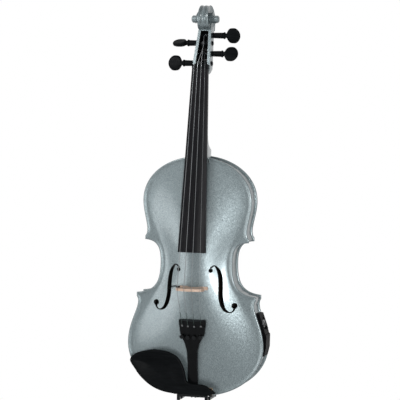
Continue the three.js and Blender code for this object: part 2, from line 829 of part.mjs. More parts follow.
// The volute is narrow over its top and steps out towards the eye.
const voluteHalfShares = [
  [0, 0.47], [0.17, 0.33], [0.3, 0.4], [0.4, 0.47], [0.55, 0.53], [0.75, 0.63], [0.9, 0.78], [1, 0.9],
];

function voluteHalfAt(share) {
  const next = Math.max(1, voluteHalfShares.findIndex(([along]) => along >= share));
  const [[from, narrow], [to, wide]] = [voluteHalfShares[next - 1], voluteHalfShares[next]];
  return eyeHalf * mix(narrow, wide, (share - from) / (to - from));
}

// Section of the volute in the half plane at one angle round the eye's axis.
function voluteSection(share) {
  const angle = voluteStart - 2 * Math.PI * voluteTurns * share;
  const radius = voluteRadiusAt(share);
  const half = voluteHalfAt(share);
  const flute = Math.min(fluteDepth, radius / 8);
  const profile = [
    [0, half - flute], [radius * 0.8, half - flute], [radius, half], [radius - flute, half * grooveShare],
    [radius, 0], [radius - flute, -half * grooveShare], [radius, -half], [radius * 0.8, flute - half],
    [0, flute - half],
  ];
  return profile.map(([reach, x]) => point(
    x, eyeSet - reach * Math.cos(angle), eyeHeight + reach * Math.sin(angle)));
}

// One turn; the first starts a little early, so that the second doesn't end on its edge.
function voluteTurn(turn) {
  const rings = [];
  for (let i = 0; i <= voluteSteps; i++) {
    const share = (turn + i / voluteSteps) / voluteTurns;
    rings.push(voluteSection(share === 0 ? -leadShare : share));
  }
  return loft(rings);
}

function scrollEye() {
  const profile = [[0, -eyeHalf - fluteDepth], [eyeRadius * 0.7, -eyeHalf - fluteDepth / 2],
    [eyeRadius, -eyeHalf + fluteDepth], [eyeRadius, eyeHalf - fluteDepth],
    [eyeRadius * 0.7, eyeHalf + fluteDepth / 2], [0, eyeHalf + fluteDepth]];
  return turned(profile, point(0, eyeSet, eyeHeight), point(1, 0, 0), 18);
}

function pegAxis(course) {
  return { y: course.set, z: course.height };
}

function pegRadiusAt(distance) {
  return mix(pegThin, pegThick, distance / (pegboxHalf * 2));
}

// Distance along a peg from the far cheek's outer face, as x on its own side.
function pegHole(course) {
  const { y, z } = pegAxis(course);
  const half = pegboxHalfAt(z) + overrun;
  const near = pegRadiusAt(pegboxHalf + half) + runningGap;
  const far = pegRadiusAt(pegboxHalf - half) + runningGap;
  return bore(point(-course.side * half, y, z), point(course.side * half, y, z), far, near, 14);
}

function neckAndScroll() {
  const solid = cut(joined(neckShaft(), pegboxOuter(), voluteTurn(0), voluteTurn(1), scrollEye()),
    pegboxHollow(), ...courses.map(pegHole));
  return solid;
}

// Pegs: tapered shaft, collar and a flattened thumb piece, as rings along the shaft
const pegSides = 10;
const pegHeadShares = [
  [0, 0.34, 0.9], [0.03, 0.46, 1.2], [0.1, 0.46, 1.2], [0.14, 0.3, 0.8], [0.2, 0.34, 0.84], [0.28, 0.68, 0.96],
  [0.38, 0.92, 0.96], [0.54, 1, 0.9], [0.74, 0.96, 0.8], [0.92, 0.62, 0.7], [1, 0.2, 0.4],
];

function peg(course) {
  const { y, z } = pegAxis(course);
  const cheek = pegboxHalfAt(z);
  const start = -cheek - overrun / 2;
  const headStart = course.reach - pegHeadLength - pegHeadHalf / 2;
  const headSpan = course.reach - headStart;
  const tilt = THREE.MathUtils.degToRad(course.turn);
  const ring = (x, wide, thick) => Array.from({ length: pegSides }, (_, i) => {
    const angle = 2 * Math.PI * i / pegSides;
    const up = wide * Math.cos(angle);
    const out = thick * Math.sin(angle);
    return point(course.side * x, y + out * Math.cos(tilt) + up * Math.sin(tilt),
      z + up * Math.cos(tilt) - out * Math.sin(tilt));
  });
  const shaftAt = (x) => ring(x, pegRadiusAt(pegboxHalf + x), pegRadiusAt(pegboxHalf + x));
  const head = pegHeadShares.map(([along, wide, thick]) =>
    ring(headStart + along * headSpan, wide * pegHeadHalf, thick * pegThick));
  return loft([shaftAt(start), shaftAt(0), shaftAt(headStart - gap), ...head]);
}

// Strings

const stringShares = [-0.5, -1 / 6, 1 / 6, 0.5];

function crownDrop(x, radius) {
  return radius - Math.sqrt(radius ** 2 - x ** 2);
}

// A place in the fingerboard's own leaning frame: y out of its underside, z up from its nut end.
function boardLocal(x, y, z) {
  return point(x, y, z).applyAxisAngle(point(1, 0, 0), -boardAngle).add(point(0, -boardUnderNut, nutHeight));
}

function nutTopAt(x) {
  return boardEdge + crownDrop(boardNutHalf, boardRadius) + nutRise - crownDrop(x, boardRadius);
}

// A string lies flat across the crown of the bridge and bends at both of its edges.
function bridgePlaces(share, radius) {
  const x = share * bridgeSpread;
  const y = -(bridgeTop - crownDrop(x, boardRadius) + radius + gap);
  return [point(x, y, bridgeHeight - bridgeThin / 2), point(x, y, bridgeHeight + bridgeThin / 2)];
}

const nutLipShare = 1 / 6;   // where the string comes onto the nut

// A string lies along the top of the nut and bends down to its peg just past it.
function nutPlaces(share, radius) {
  const x = share * nutSpread;
  const above = -nutTopAt(x) - radius - gap;
  return [boardLocal(x, above, nutLength * nutLipShare), boardLocal(x, above, nutLength + radius + gap)];
}

function windingRadius(course) {
  return pegRadiusAt(pegboxHalf) + gap * 2 + course.wire / 2;
}

// The string leaves the front of its winding, so its end lies on the tangent from the nut.
function pegPlace(course, from) {
  const radius = windingRadius(course);
  const axis = pointXY(course.set, course.height);
  const nut = pointXY(from.y, from.z);
  const away = nut.clone().sub(axis);
  const lean = Math.acos(radius / away.length());
  const bearing = Math.atan2(away.y, away.x) - lean;
  const touch = axis.clone().add(pointXY(Math.cos(bearing), Math.sin(bearing)).multiplyScalar(radius));
  const line = nut.clone().sub(touch).normalize();
  const clear = touch.clone().addScaledVector(line, stringStop);
  return { touch, bearing, place: point(course.wind, clear.x, clear.y) };
}

const stringStop = 3.2;   // the string's straight run stops this far short of its winding

function tailLocal(x, y, z) {
  return point(x, y, z).applyAxisAngle(point(1, 0, 0), tailAngle).add(point(0, -tailSet, tailBottom));
}

function hookPlace(share, radius) {
  const x = share * tailSpread;
  return tailLocal(x, crownDrop(x, tailCrown) - hookRise - radius, pivotUp + leverArm);
}

const hookRise = 1.2;

function stringPath(course, index) {
  const radius = course.wire / 2;
  const nut = nutPlaces(stringShares[index], radius);
  const end = pegPlace(course, nut[1]).place;
  return [hookPlace(stringShares[index], radius), ...bridgePlaces(stringShares[index], radius), ...nut, end];
}

// Winding: one unbroken wire in a close spiral on the peg, starting where the string arrives.
function windingPoints(course, index) {
  const nut = nutPlaces(stringShares[index], course.wire / 2);
  const { bearing } = pegPlace(course, nut[1]);
  const radius = windingRadius(course);
  const pitch = course.wire + windingClear + gap / 2;
  const count = Math.round(windingTurns * windingSteps);
  const spot = (i) => {
    const angle = bearing - 2 * Math.PI * i / windingSteps;
    const x = course.wind + course.side * pitch * i / windingSteps;
    return point(x, course.set + radius * Math.cos(angle), course.height + radius * Math.sin(angle));
  };
  const points = Array.from({ length: count + 1 }, (_, i) => spot(i));
  const lead = points[0].clone().sub(points[1]).normalize().multiplyScalar(course.wire);
  const tail = points.at(-1).clone().sub(points.at(-2)).normalize().multiplyScalar(course.wire);
  return [points[0].clone().add(lead), ...points, points.at(-1).clone().add(tail)];
}

// Least gap between turns, measured between points at least half a turn apart.
function leastTurnGap(points, diameter) {
  let least = Infinity;
  for (let i = 0; i < points.length; i++) {
    for (let k = i + windingSteps / 2; k < points.length; k++) {
      least = Math.min(least, points[i].distanceTo(points[k]) - diameter);
    }
  }
  return least;
}

// Bridge: feet on the arch, waist, wings, crown, with a heart and a cut under each wing
const bridgeHalfShares = [
  [0, 0.32], [0.22, 0.3], [0.4, 0.18], [0.47, 0], [1, 0], [1, 0.1], [0.74, 0.2], [0.66, 0.4],
  [0.62, 0.47], [0.8, 0.5], [0.98, 0.55], [1, 0.66], [0.94, 0.78], [0.9, 0.87],
];

function bridgeBlank() {
  const low = archHeight(bridgeFootHalf / 2, bridgeHeight, frontArch) - plateThickness;
  const tall = bridgeTop - low;
  const half = bridgeHalfShares.map(([across, up]) => pointXY(across * bridgeFootHalf, low + up * tall));
  const crown = [0.86, 0.65, 0.43, 0.2].map((share) => {
    const x = share * bridgeFootHalf;
    return pointXY(x, bridgeTop - crownDrop(x, boardRadius));
  });
  const right = [...half, ...crown];
  const left = [pointXY(0, bridgeTop), ...right.slice(1).reverse().map((p) => pointXY(-p.x, p.y))];
  const shape = new THREE.Shape([...right, ...left]);
  const heart = [[0, 0.5], [0.13, 0.58], [0.16, 0.64], [0.08, 0.68], [0, 0.65], [-0.08, 0.68], [-0.16, 0.64],
    [-0.13, 0.58]].map(([across, up]) => pointXY(across * bridgeFootHalf, low + up * tall));
  shape.holes.push(new THREE.Path(heart));
  const slab = new THREE.ExtrudeGeometry(shape, { depth: 1, bevelEnabled: false });
  const spots = slab.attributes.position;
  for (let i = 0; i < spots.count; i++) {
    const up = spots.getY(i);
    const thick = mix(bridgeThick, bridgeThin, (up - low) / tall);
    spots.setXYZ(i, spots.getX(i), -up, bridgeHeight + (0.5 - spots.getZ(i)) * thick);
  }
  return closedOf(slab);
}

// Plates, seated pieces and the body

function clippedTo(points, half) {
  const kept = points.filter((p) => p.x < half);
  const next = points.find((p) => p.x >= half) ?? points.at(-1);
  const last = kept.at(-1);
  const share = (half - last.x) / (next.x - last.x);
  return [...kept, last.clone().lerp(next, share)];
}

// A strip of bent wood between two insets from the outline.
function strip(outer, inner, near, far) {
  return frontSlab([...outer, ...[...inner].reverse()], near, far);
}

const gluedInset = overhang + ribThickness + gap;
const liningInset = overhang + ribThickness;

// The paths of one rib's two faces; neighbouring ribs meet on a mitre at each corner.
function ribFaces(name, inset) {
  const upper = cornerSides(['top', 'upperSide'], ['waistUpper'], inset);
  const lower = cornerSides(['waistLower'], ['lowerSide', 'bottom'], inset);
  if (name === 'upper') return upper.above;
  if (name === 'lower') return lower.below;
  return [...upper.below, ...lower.above.slice(1)];
}

function endsShortened(path, first, last) {
  const short = [...path];
  const pull = (end, next) => end.clone().add(next.clone().sub(end).normalize().multiplyScalar(gap / 2));
  if (first) short[0] = pull(path[0], path[1]);
  if (last) short[short.length - 1] = pull(path.at(-1), path.at(-2));
  return short;
}

const ribCurves = {
  upper: ['top', 'upperSide'],
  waist: ['waistUpper', 'waistLower'],
  lower: ['lowerSide', 'bottom'],
};

// Linings stop short of the blocks.
function lining(name, near, far) {
  const clear = cornerBlockReach + gap * 4;
  const away = (p) => Math.min(
    Math.hypot(p.x - upperTip.x, p.y - upperTip.top),
    Math.hypot(p.x - lowerTip.x, p.y - lowerTip.top),
  ) > clear + overhang;
  const pastBlocks = (p) => p.x > (p.y > waistLine ? neckBlockHalf : endBlockHalf) + gap;
  const outer = insetPath(ribCurves[name], liningInset - gap);
  const inner = insetPath(ribCurves[name], liningInset + liningThickness);
  const keep = outer.map((p, i) => away(p) && pastBlocks(p) && away(inner[i]) && pastBlocks(inner[i]));
  return strip(outer.filter((_, i) => keep[i]), inner.filter((_, i) => keep[i]), near, far);
}

function rib(name, side) {
  const first = name !== 'upper';
  const last = name !== 'lower';
  const outer = endsShortened(ribFaces(name, overhang), first, last);
  const inner = endsShortened(ribFaces(name, overhang + ribThickness), first, last);
  const bare = strip(outer, inner, edgeThickness, ribBack);
  const whole = joined(bare,
    lining(name, edgeThickness, edgeThickness + liningHeight),
    lining(name, ribBack - liningHeight, ribBack));
  return side > 0 ? whole : closedOf(whole.scale(-1, 1, 1));
}

function neckBlock() {
  const outer = clippedTo(insetPath(['top'], gluedInset), neckBlockHalf);
  const low = bodyLength - gluedInset - neckBlockDepth;
  const half = [...outer, pointXY(neckBlockHalf, low)];
  const outlinePoints = [...mirrored([...half].reverse(), -1), ...half.slice(1)];
  return cut(frontSlab(outlinePoints, edgeThickness, ribBack), neckRoot(gap));
}

function endBlock() {
  const outer = clippedTo(insetPath(['bottom'], gluedInset).reverse(), endBlockHalf);
  const half = [...outer, pointXY(endBlockHalf, gluedInset + endBlockDepth)];
  const outlinePoints = [...mirrored([...half].reverse(), -1), ...half.slice(1)];
  return cut(frontSlab(outlinePoints, edgeThickness, ribBack), endPinHole());
}

// The points of a path within reach of a corner, and always the one next to it.
function within(path, corner, reach) {
  const distances = path.map((p) => p.distanceTo(corner)).filter((distance) => distance > gap);
  const far = Math.max(reach, Math.min(...distances) + gap);
  return path.filter((p) => p.distanceTo(corner) < far);
}

function cornerBlock(upper, side) {
  const sides = upper
    ? cornerSides(['top', 'upperSide'], ['waistUpper'], gluedInset)
    : cornerSides(['waistLower'], ['lowerSide', 'bottom'], gluedInset);
  const corner = sides.above.at(-1);
  const above = within(sides.above, corner, cornerBlockReach);
  const below = within(sides.below.slice(1), corner, cornerBlockReach);
  return frontSlab(mirrored([...above, ...below], side), edgeThickness, ribBack);
}

function saddleNotch() {
  return block([-saddleHalf - gap, saddleHalf + gap], [-overrun, edgeThickness],
    [-overrun, saddleDepth + gap]);
}

function topPlate() {
  return cut(archedPlate(frontArch), neckRoot(gap), saddleNotch(), ...slitCutters(1), ...slitCutters(-1));
}

// The back's plate, turned to face backwards, with the round button that carries the heel.
function backPlate() {
  const plate = closedOf(archedPlate(backArch).scale(1, -1, 1).translate(0, ribBack + edgeThickness, 0));
  const middle = bodyLength + heelClear - buttonRadius;
  const button = bore(point(0, ribBack, middle), point(0, ribBack + edgeThickness, middle), buttonRadius);
  return joined(plate, button);
}

const barSet = 15;
const barWidth = 5.5;
const barShort = 44;       // the bar ends this far inside the body at each end
const barLength = bodyLength - 2 * barShort;
const barDepth = 10;
const barEnd = 3.2;

function bassBar() {
  const middle = (bodyLength + overhang) / 2;
  const steps = 12;
  const inner = [];
  const free = [];
  for (let i = 0; i <= steps; i++) {
    const z = middle + barLength * (i / steps - 0.5);
    const seat = -hollowHeight(barSet, z, frontArch);
    inner.push(pointXY(seat - plateThickness / 2, z));
    free.push(pointXY(seat + mix(barEnd, barDepth, Math.sin(Math.PI * i / steps)), z));
  }
  const bar = sideSlab([...inner, ...free.reverse()], -barSet - barWidth, -barSet);
  return cut(bar, underTop, moved(underTop, 0, -plateThickness * 0.8, 0));
}

const postSet = 21;
const postBelow = 7;       // below the bridge's middle
const postHeight = bridgeHeight - postBelow;
const postRadius = 3;

// Copies of a plate stacked outwards, which cut away what lies beyond it.
function beyond(plate, away) {
  return [1, 2, 3].map((i) => moved(plate, 0, away * i * plateThickness / 2, 0));
}

function soundPost() {
  const far = ribBack + edgeThickness + backArch;
  return cut(rod(point(postSet, -frontArch, postHeight), point(postSet, far, postHeight), postRadius),
    postWaste(), underTop, overBack, ...beyond(underTop, -1), ...beyond(overBack, 1));
}

// All that lies beyond the middle of either plate, beside the sound post.
function postWaste() {
  const room = postRadius + gap;
  const high = bodyLength;
  const front = Math.min(...[-room, room].map((x) => hollowHeight(postSet + x, postHeight, frontArch)));
  const rear = Math.min(...[-room, room].map((x) => hollowHeight(postSet + x, postHeight, backArch)));
  const across = [postSet - room, postSet + room];
  return joined(
    block(across, [-high, -front - plateThickness / 2], [0, high]),
    block(across, [ribBack + edgeThickness + rear + plateThickness / 2, high], [0, high]),
  );
}

// Neck, fingerboard, nut and pegs

function boardSection(z, hollow) {
  const half = mix(boardNutHalf, boardEndHalf, -z / boardLength);
  const ring = [];
  const steps = 8;
  for (let i = 0; i <= steps; i++) {
    const x = half * (1 - 2 * i / steps);
    const drop = crownDrop(half, boardRadius) - crownDrop(x, boardRadius);
    ring.push(point(x, -boardEdge - drop, z));
  }
  for (let i = 0; i <= 4; i++) {
    const x = half * (i / 2 - 1);
    ring.push(point(x, -hollow * Math.sin(Math.PI * i / 4), z));
  }
  return ring;
}

const boardHollow = 4.5;

function fingerboard() {
  const glued = -neckLength - neckBlockDepth / 2;
  return loft([
    boardSection(-gap, 0), boardSection(glued, 0), boardSection(glued - boardEdge, boardHollow),
    boardSection(-boardLength, boardHollow),
  ]);
}

function stringNut() {
  const steps = 6;
  const ring = (z) => {
    const section = [point(boardNutHalf, 0, z), point(-boardNutHalf, 0, z)];
    for (let i = 0; i <= steps; i++) {
      const x = boardNutHalf * (2 * i / steps - 1);
      section.push(point(x, -nutTopAt(x), z));
    }
    return section;
  };
  return loft([ring(0), ring(nutLength)]);
}

// Tailpiece: crowned shell with a hollow behind its head, a slot for each lever

const tailShares = [
  [0, 0.34], [0.1, 0.34], [0.37, 0.335], [0.56, 0.38], [0.67, 0.53], [0.79, 0.87], [0.97, 1], [1, 0.97],
];
const tailHollowShare = 0.62;

function tailSection(z, half, shrink, bottom) {
  const ring = [];
  const steps = 6;
  for (let i = 0; i <= steps; i++) {
    const x = half * (1 - 2 * i / steps);
    ring.push(point(x, crownDrop(x, tailCrown) + shrink, z));
  }
  ring.push(point(-half, bottom, z), point(half, bottom, z));
  return ring;
}

function tailBody() {
  return loft(tailShares.map(([up, wide]) => {
    const bottom = mix(tailStemDepth, tailHeadDepth, up) + crownDrop(wide * tailHeadHalf, tailCrown) / 4;
    return tailSection(up * tailLength, wide * tailHeadHalf, 0, bottom);
  }));
}

function tailHollow() {
  const low = tailHollowShare;
  const widths = tailShares.filter(([up]) => up > low && up < 1);
  const rings = widths.map(([up, wide]) =>
    tailSection(up * tailLength, wide * tailHeadHalf - tailWall, tailWall, tailHeadDepth * 2));
  const last = widths.at(-1);
  rings[rings.length - 1] = tailSection(tailLength - tailWall, last[1] * tailHeadHalf - tailWall, tailWall,
    tailHeadDepth * 2);
  return loft(rings);
}

// Each tuner's place across, the crown at its lever and the highest crown under its screw's head.
function tunerPlaces() {
  return courses.map((course, index) => {
    const x = stringShares[index] * tailSpread;
    const inner = Math.max(0, Math.abs(x) - screwHeadRadius);
    return { name: course.name, x, top: crownDrop(x, tailCrown), seat: crownDrop(inner, tailCrown) };
  });
}

const leverFront = pivotIn - leverArm / 4;

function pivotPin(grow, reach) {
  const make = grow > 0 ? bore : rod;
  const radius = pivotRadius + grow;
  return make(point(-reach, pivotIn, pivotUp), point(reach, pivotIn, pivotUp), radius, radius, 12);
}

function tailpiece() {
  const swing = leverArm + 2 * gap;
  const slots = tunerPlaces().map(({ x }) => block(
    [x - leverWidth / 2 - gap, x + leverWidth / 2 + gap], [-overrun, pivotIn],
    [pivotUp - swing, pivotUp + swing]));
  const rooms = tunerPlaces().map(({ x }) => block(
    [x - leverWidth / 2 - gap, x + leverWidth / 2 + gap], [leverFront - gap, tailHeadDepth * 2],
    [screwUp - leverArm / 2 - gap, pivotUp + leverArm + gap]));
  const holes = tunerPlaces().map(({ x }) =>
    bore(point(x, -overrun, screwUp), point(x, pivotIn, screwUp), screwRadius + runningGap,
      screwRadius + runningGap, 14));
  const gutHoles = [-1, 1].map((side) => bore(
    point(side * gutHalf, gutDepth, -overrun), point(side * gutHalf, gutDepth, gutSeat), gutRadius + gap,
    gutRadius + gap, 12));
  const well = block([-gutWell, gutWell], [gutDepth - gutWell / 2, tailHeadDepth * 2],
    [gutSeat, gutSeat + gutWell * 2]);
  return cut(tailBody(), tailHollow(), ...slots, ...rooms, ...holes, ...gutHoles, well,
    pivotPin(gap, tailHeadHalf - tailWall / 2));
}

const gutHalf = 2.6;
const gutDepth = 2.9;
const gutSeat = 7;
const gutWell = 4.4;

// Lever: a hook that stands up through its slot, and an arm back to the screw's tip
function tunerLever({ x, top }) {
  const half = leverArm / 2;
  const high = top - hookRise;
  const side = [
    pointXY(high, pivotUp + half), pointXY(high, pivotUp - half), pointXY(leverFront, pivotUp - half),
    pointXY(leverFront, screwUp - half), pointXY(leverFront + leverArm, screwUp - half),
    pointXY(pivotIn + leverArm, pivotUp - half), pointXY(pivotIn + leverArm, pivotUp + half),
    pointXY(pivotIn, pivotUp + leverArm),
  ];
  return cut(sideSlab(side, x - leverWidth / 2, x + leverWidth / 2), pivotPin(runningGap, tailHeadHalf));
}

function tunerScrew({ x, seat }) {
  const head = seat - gap;
  const knurls = 16;
  const shank = rod(point(x, leverFront - gap, screwUp), point(x, head - gap, screwUp), screwRadius,
    screwRadius, 12);
  const cap = rod(point(x, head, screwUp), point(x, head - screwHeadHeight, screwUp), screwHeadRadius,
    screwHeadRadius * 0.92, knurls);
  return joined(shank, cap);
}

// Saddle, end button and the gut that ties the tailpiece to it

function saddle() {
  const half = [pointXY(0, -saddleTop), pointXY(saddleHalf * 0.55, -saddleTop), pointXY(saddleHalf, -gap)];
  const shape = [...half, pointXY(saddleHalf, edgeThickness), ...mirrored(
    [...half.slice(1), pointXY(saddleHalf, edgeThickness)].reverse(), -1)];
  const grooves = [-1, 1].map((side) => rod(
    point(side * gutHalf, -saddleTop, -overrun), point(side * gutHalf, -saddleTop, saddleDepth + overrun),
    gutRadius + gap, gutRadius + gap, 12));
  return cut(flatSlab(shape, 0, saddleDepth), ...grooves);
}

// The two lower ribs meet in the middle, with a hair's breadth between them.
function ribSeam() {
  return block([-gap / 2, gap / 2], [-overrun, ribBack + overrun], [-overrun, gluedInset + overrun]);
}

function endPinHole() {
  return bore(point(0, ribMiddle, -overrun), point(0, ribMiddle, gluedInset + endBlockDepth + overrun),
    endPinRadius + runningGap);
}

function endButton() {
  const inner = gluedInset + endBlockDepth - overrun;
  const flange = -2 * (gutRadius + gap);
  const profile = [
    [0, -endButtonReach], [endButtonRadius * 0.6, -endButtonReach],
    [endButtonRadius, mix(-endButtonReach, flange, 0.45)], [endButtonRadius, flange - gap],
    [endButtonNeck, flange], [endButtonNeck, 0], [endButtonCollar, overhang / 2], [endButtonCollar, overhang - gap],
    [endPinRadius, overhang - gap], [endPinRadius * 0.94, inner], [0, inner],
  ];
  return turned(profile, point(0, ribMiddle, 0), point(0, 0, 1), 16);
}

// Gut: one loop, from knots in the tailpiece over the saddle and round the button's neck.
function tailgut() {
  const bend = gutRadius + gap;
  const round = endButtonNeck + bend;
  const lower = (side) => [
    tailLocal(side * gutHalf, gutDepth, gutSeat + gutRadius),
    tailLocal(side * gutHalf, gutDepth, 0),
    point(side * gutHalf, -saddleTop, saddleDepth / 2),
    point(side * gutHalf, -saddleTop, 0),
    point(side * gutHalf, bend - saddleTop - bend * Math.cos(Math.PI / 4), -bend * Math.sin(Math.PI / 4)),
    point(side * gutHalf, bend - saddleTop, -bend),
    point(side * round, ribMiddle - round, -bend),
  ];
  const loop = Array.from({ length: 7 }, (_, i) => {
    const angle = Math.PI * i / 6;
    return point(round * Math.cos(angle), ribMiddle + round * Math.sin(angle), -bend);
  });
  return wire([...lower(1), ...loop, ...lower(-1).reverse()], gutRadius);
}

// Chinrest: a dished cup left of the tailpiece and an arm that crosses its lower end

const cupEdgeShares = [
  [-0.86, 0.44], [-0.66, 0.74], [-0.3, 0.9], [0.1, 0.91], [0.4, 0.72], [0.6, 0.42], [0.72, 0],
  [0.78, -0.45], [0.8, -0.85], [0.42, -0.97], [0, -0.88], [-0.44, -0.6], [-0.78, -0.1],
];
const ringShares = [0.3, 0.6, 0.85, 1];

function cupEdge() {
  const spots = cupEdgeShares.map(([across, up]) =>
    point(cupCentre.x + across * cupHalfWide, 0, cupCentre.z + up * cupHalfTall));
  return new THREE.CatmullRomCurve3(spots, true).getPoints(32).slice(0, -1);
}

// Front of the cup: high at the rim on the far side, low in the dish.
function cupFront(x, share) {
  const rim = mix(cupRim, armTop, THREE.MathUtils.clamp((x - cupCentre.x) / cupHalfWide, 0, 1));
  return rim - cupDish * (1 - share ** 2.2);
}

function chinrestCup() {
  const edge = cupEdge();
  const layer = (share, front) => edge.map((p) => {
    const x = mix(cupCentre.x, p.x, share);
    const thick = cupThickness * (share === 1 ? 0.6 : 1);
    return point(x, (front ? 0 : thick) - cupFront(x, share), mix(cupCentre.z, p.z, share));
  });
  return loft([
    ...ringShares.map((share) => layer(share, true)),
    ...[...ringShares].reverse().map((share) => layer(share, false)),
  ]);
}

const armEnd = 34;
const armStart = -30;
const armStationShares = [
  [0, 0.34, 0.9, 0.78], [0.28, 0.22, 0.86, 1], [0.47, 0.2, 0.62, 1], [0.66, 0.2, 0.6, 1],
  [0.86, 0.23, 0.5, 0.97], [1, 0.27, 0.36, 0.9],
];

function chinrestArm() {
  const steps = 10;
  return loft(armStationShares.map(([along, low, high, lift]) => Array.from({ length: steps }, (_, i) => {
    const angle = 2 * Math.PI * i / steps;
    const swell = Math.sign(Math.sin(angle)) * Math.abs(Math.sin(angle)) ** 0.6;
    const front = mix(armBottom, armTop * lift, (1 + swell) / 2);
    const up = mix(low, high, (1 + Math.cos(angle)) / 2) * cupHalfTall;
    return point(mix(armStart, armEnd, along), -front, up);
  })));
}

// A foot under each end of the arm stands on its own cork pad at the plate's edge.
function footRoom(side, near, far, grow = 0) {
  const across = [side * clampHalf - padHalf - grow, side * clampHalf + padHalf + grow];
  return block(across, [near, far], [footLow - grow, footHigh + grow]);
}

const padHalf = 7;
const footLow = 3.4;
const footHigh = 13.5;

function chinrest() {
  const feet = [-1, 1].map((side) =>
    footRoom(side, -armBottom - corkThickness, -corkThickness - 2 * gap));
  return joined(chinrestCup(), chinrestArm(), ...feet);
}

function corkPad(side) {
  return cut(footRoom(side, -corkThickness - gap, edgeThickness / 2), overTop, saddleRoom());
}

function saddleRoom() {
  return block([-saddleHalf - gap, saddleHalf + gap], [-bodyLength, edgeThickness],
    [-overrun, saddleDepth + gap]);
}

// Clamp: a strip with two threaded rods in front, another behind, and two barrels between

const barrelLine = -clampBelow;
const tabHalf = rodRadius * 1.6;

function clampRod(side, near, far) {
  const place = (y) => point(side * clampHalf, y, barrelLine);
  return rod(place(near), place(far), rodRadius, rodRadius, 12);
}

// A flat strip inside the body's edge, with a tab at each end that reaches out to its rod.
function clampStrip(near, low, high) {
  const far = near + footThickness;
  const tab = (side) => block(
    [side * clampHalf - tabHalf, side * clampHalf + tabHalf], [near, far], [barrelLine - tabHalf, high]);
  return joined(block([-clampHalf, clampHalf], [near, far], [low, high]), tab(-1), tab(1));
}

function upperBracket() {
  const near = gap - armBottom;
  return joined(clampStrip(near, gap, footLow - gap), ...[-1, 1].map((side) =>
    clampRod(side, near + footThickness / 2, barrelNear + rodReach)));
}

function lowerBracket() {
  const near = ribBack + edgeThickness + gap;
  return joined(clampStrip(near, gap, footHigh * 0.7), ...[-1, 1].map((side) =>
    clampRod(side, barrelFar - rodReach, near + footThickness / 2)));
}

const barrelNear = ribMiddle - barrelLength / 2;
const barrelFar = ribMiddle + barrelLength / 2;
const rodReach = barrelLength / 3;

function clampBarrel(side) {
  const place = (y) => point(side * clampHalf, y, barrelLine);
  const shell = rod(place(barrelNear), place(barrelFar), barrelRadius, barrelRadius, 18);
  const thread = bore(place(barrelNear - overrun), place(barrelFar + overrun), rodRadius + runningGap,
    rodRadius + runningGap, 12);
  const across = bore(point(side * clampHalf - barrelRadius * 2, ribMiddle, barrelLine),
    point(side * clampHalf + barrelRadius * 2, ribMiddle, barrelLine), rodRadius / 2, rodRadius / 2, 10);
  return cut(shell, thread, across);
}

// Control panel: a housing let into the lower treble rib

const panelNear = ribMiddle - panelWidth / 2;
const panelFar = ribMiddle + panelWidth / 2;
const trayNear = ribMiddle - trayWidth / 2;
const trayFar = ribMiddle + trayWidth / 2;
const boxHalfTall = batterySize.z / 2 + batteryRoom + boxWall;
const trayTop = panelTop - overhang;
const boxBottom = batteryMiddle - boxHalfTall;
const doorNear = ribMiddle - doorWidth / 2;
const doorFar = ribMiddle + doorWidth / 2;

// A path along the treble side between two heights, at an inset from the body's outline.
function sidePath(inset, low, high) {
  const path = insetPath(['lowerSide', 'bottom'], inset);
  const at = (z) => {
    const i = path.findIndex((p) => p.y <= z);
    const share = (path[i - 1].y - z) / (path[i - 1].y - path[i].y);
    return pointXY(mix(path[i - 1].x, path[i].x, share), z);
  };
  return [at(high), ...path.filter((p) => p.y < high - gap && p.y > low + gap), at(low)];
}

function sideStrip(outerInset, innerInset, low, high, near, far) {
  const inner = sidePath(innerInset, low, high).reverse();
  return frontSlab([...sidePath(outerInset, low, high), ...inner], near, far);
}

function doorInset(depth) {
  return (z) => overhang + depth - mix(doorProudFoot, doorProudTop, (z - doorBottom) / (doorTop - doorBottom));
}

function pivotPlace() {
  return sidePath(doorInset(doorThickness / 2), doorBottom, doorTop).at(-1);
}

function hingeRod(near, far, radius, make) {
  const { x, y } = pivotPlace();
  return make(point(x, near, y), point(x, far, y), radius, radius, 12);
}

function panelOpenings() {
  return [
    block([0, bodyLength], [trayNear - gap, trayFar + gap], [boxBottom - gap, trayTop + gap]),
  ];
}

function wheelPlace(z) {
  const face = sidePath(overhang - panelProud, z, z + gap * 4);
  const along = face[0].clone().sub(face.at(-1)).normalize();
  return face.at(-1).clone().add(pointXY(-along.y, along.x).multiplyScalar(wheelRadius - wheelProud));
}

function wheelDisc(z, radius, half, make, sides) {
  const { x, y } = wheelPlace(z);
  return make(point(x, wheelSet - half, y), point(x, wheelSet + half, y), radius, radius, sides);
}

const jackSeat = sidePath(overhang - panelProud, jackHeight, jackHeight + jackNut)[0].x - gap;

function alongX(from, to, radius, make, sides) {
  return make(point(from, jackSet, jackHeight), point(to, jackSet, jackHeight), radius, radius, sides);
}

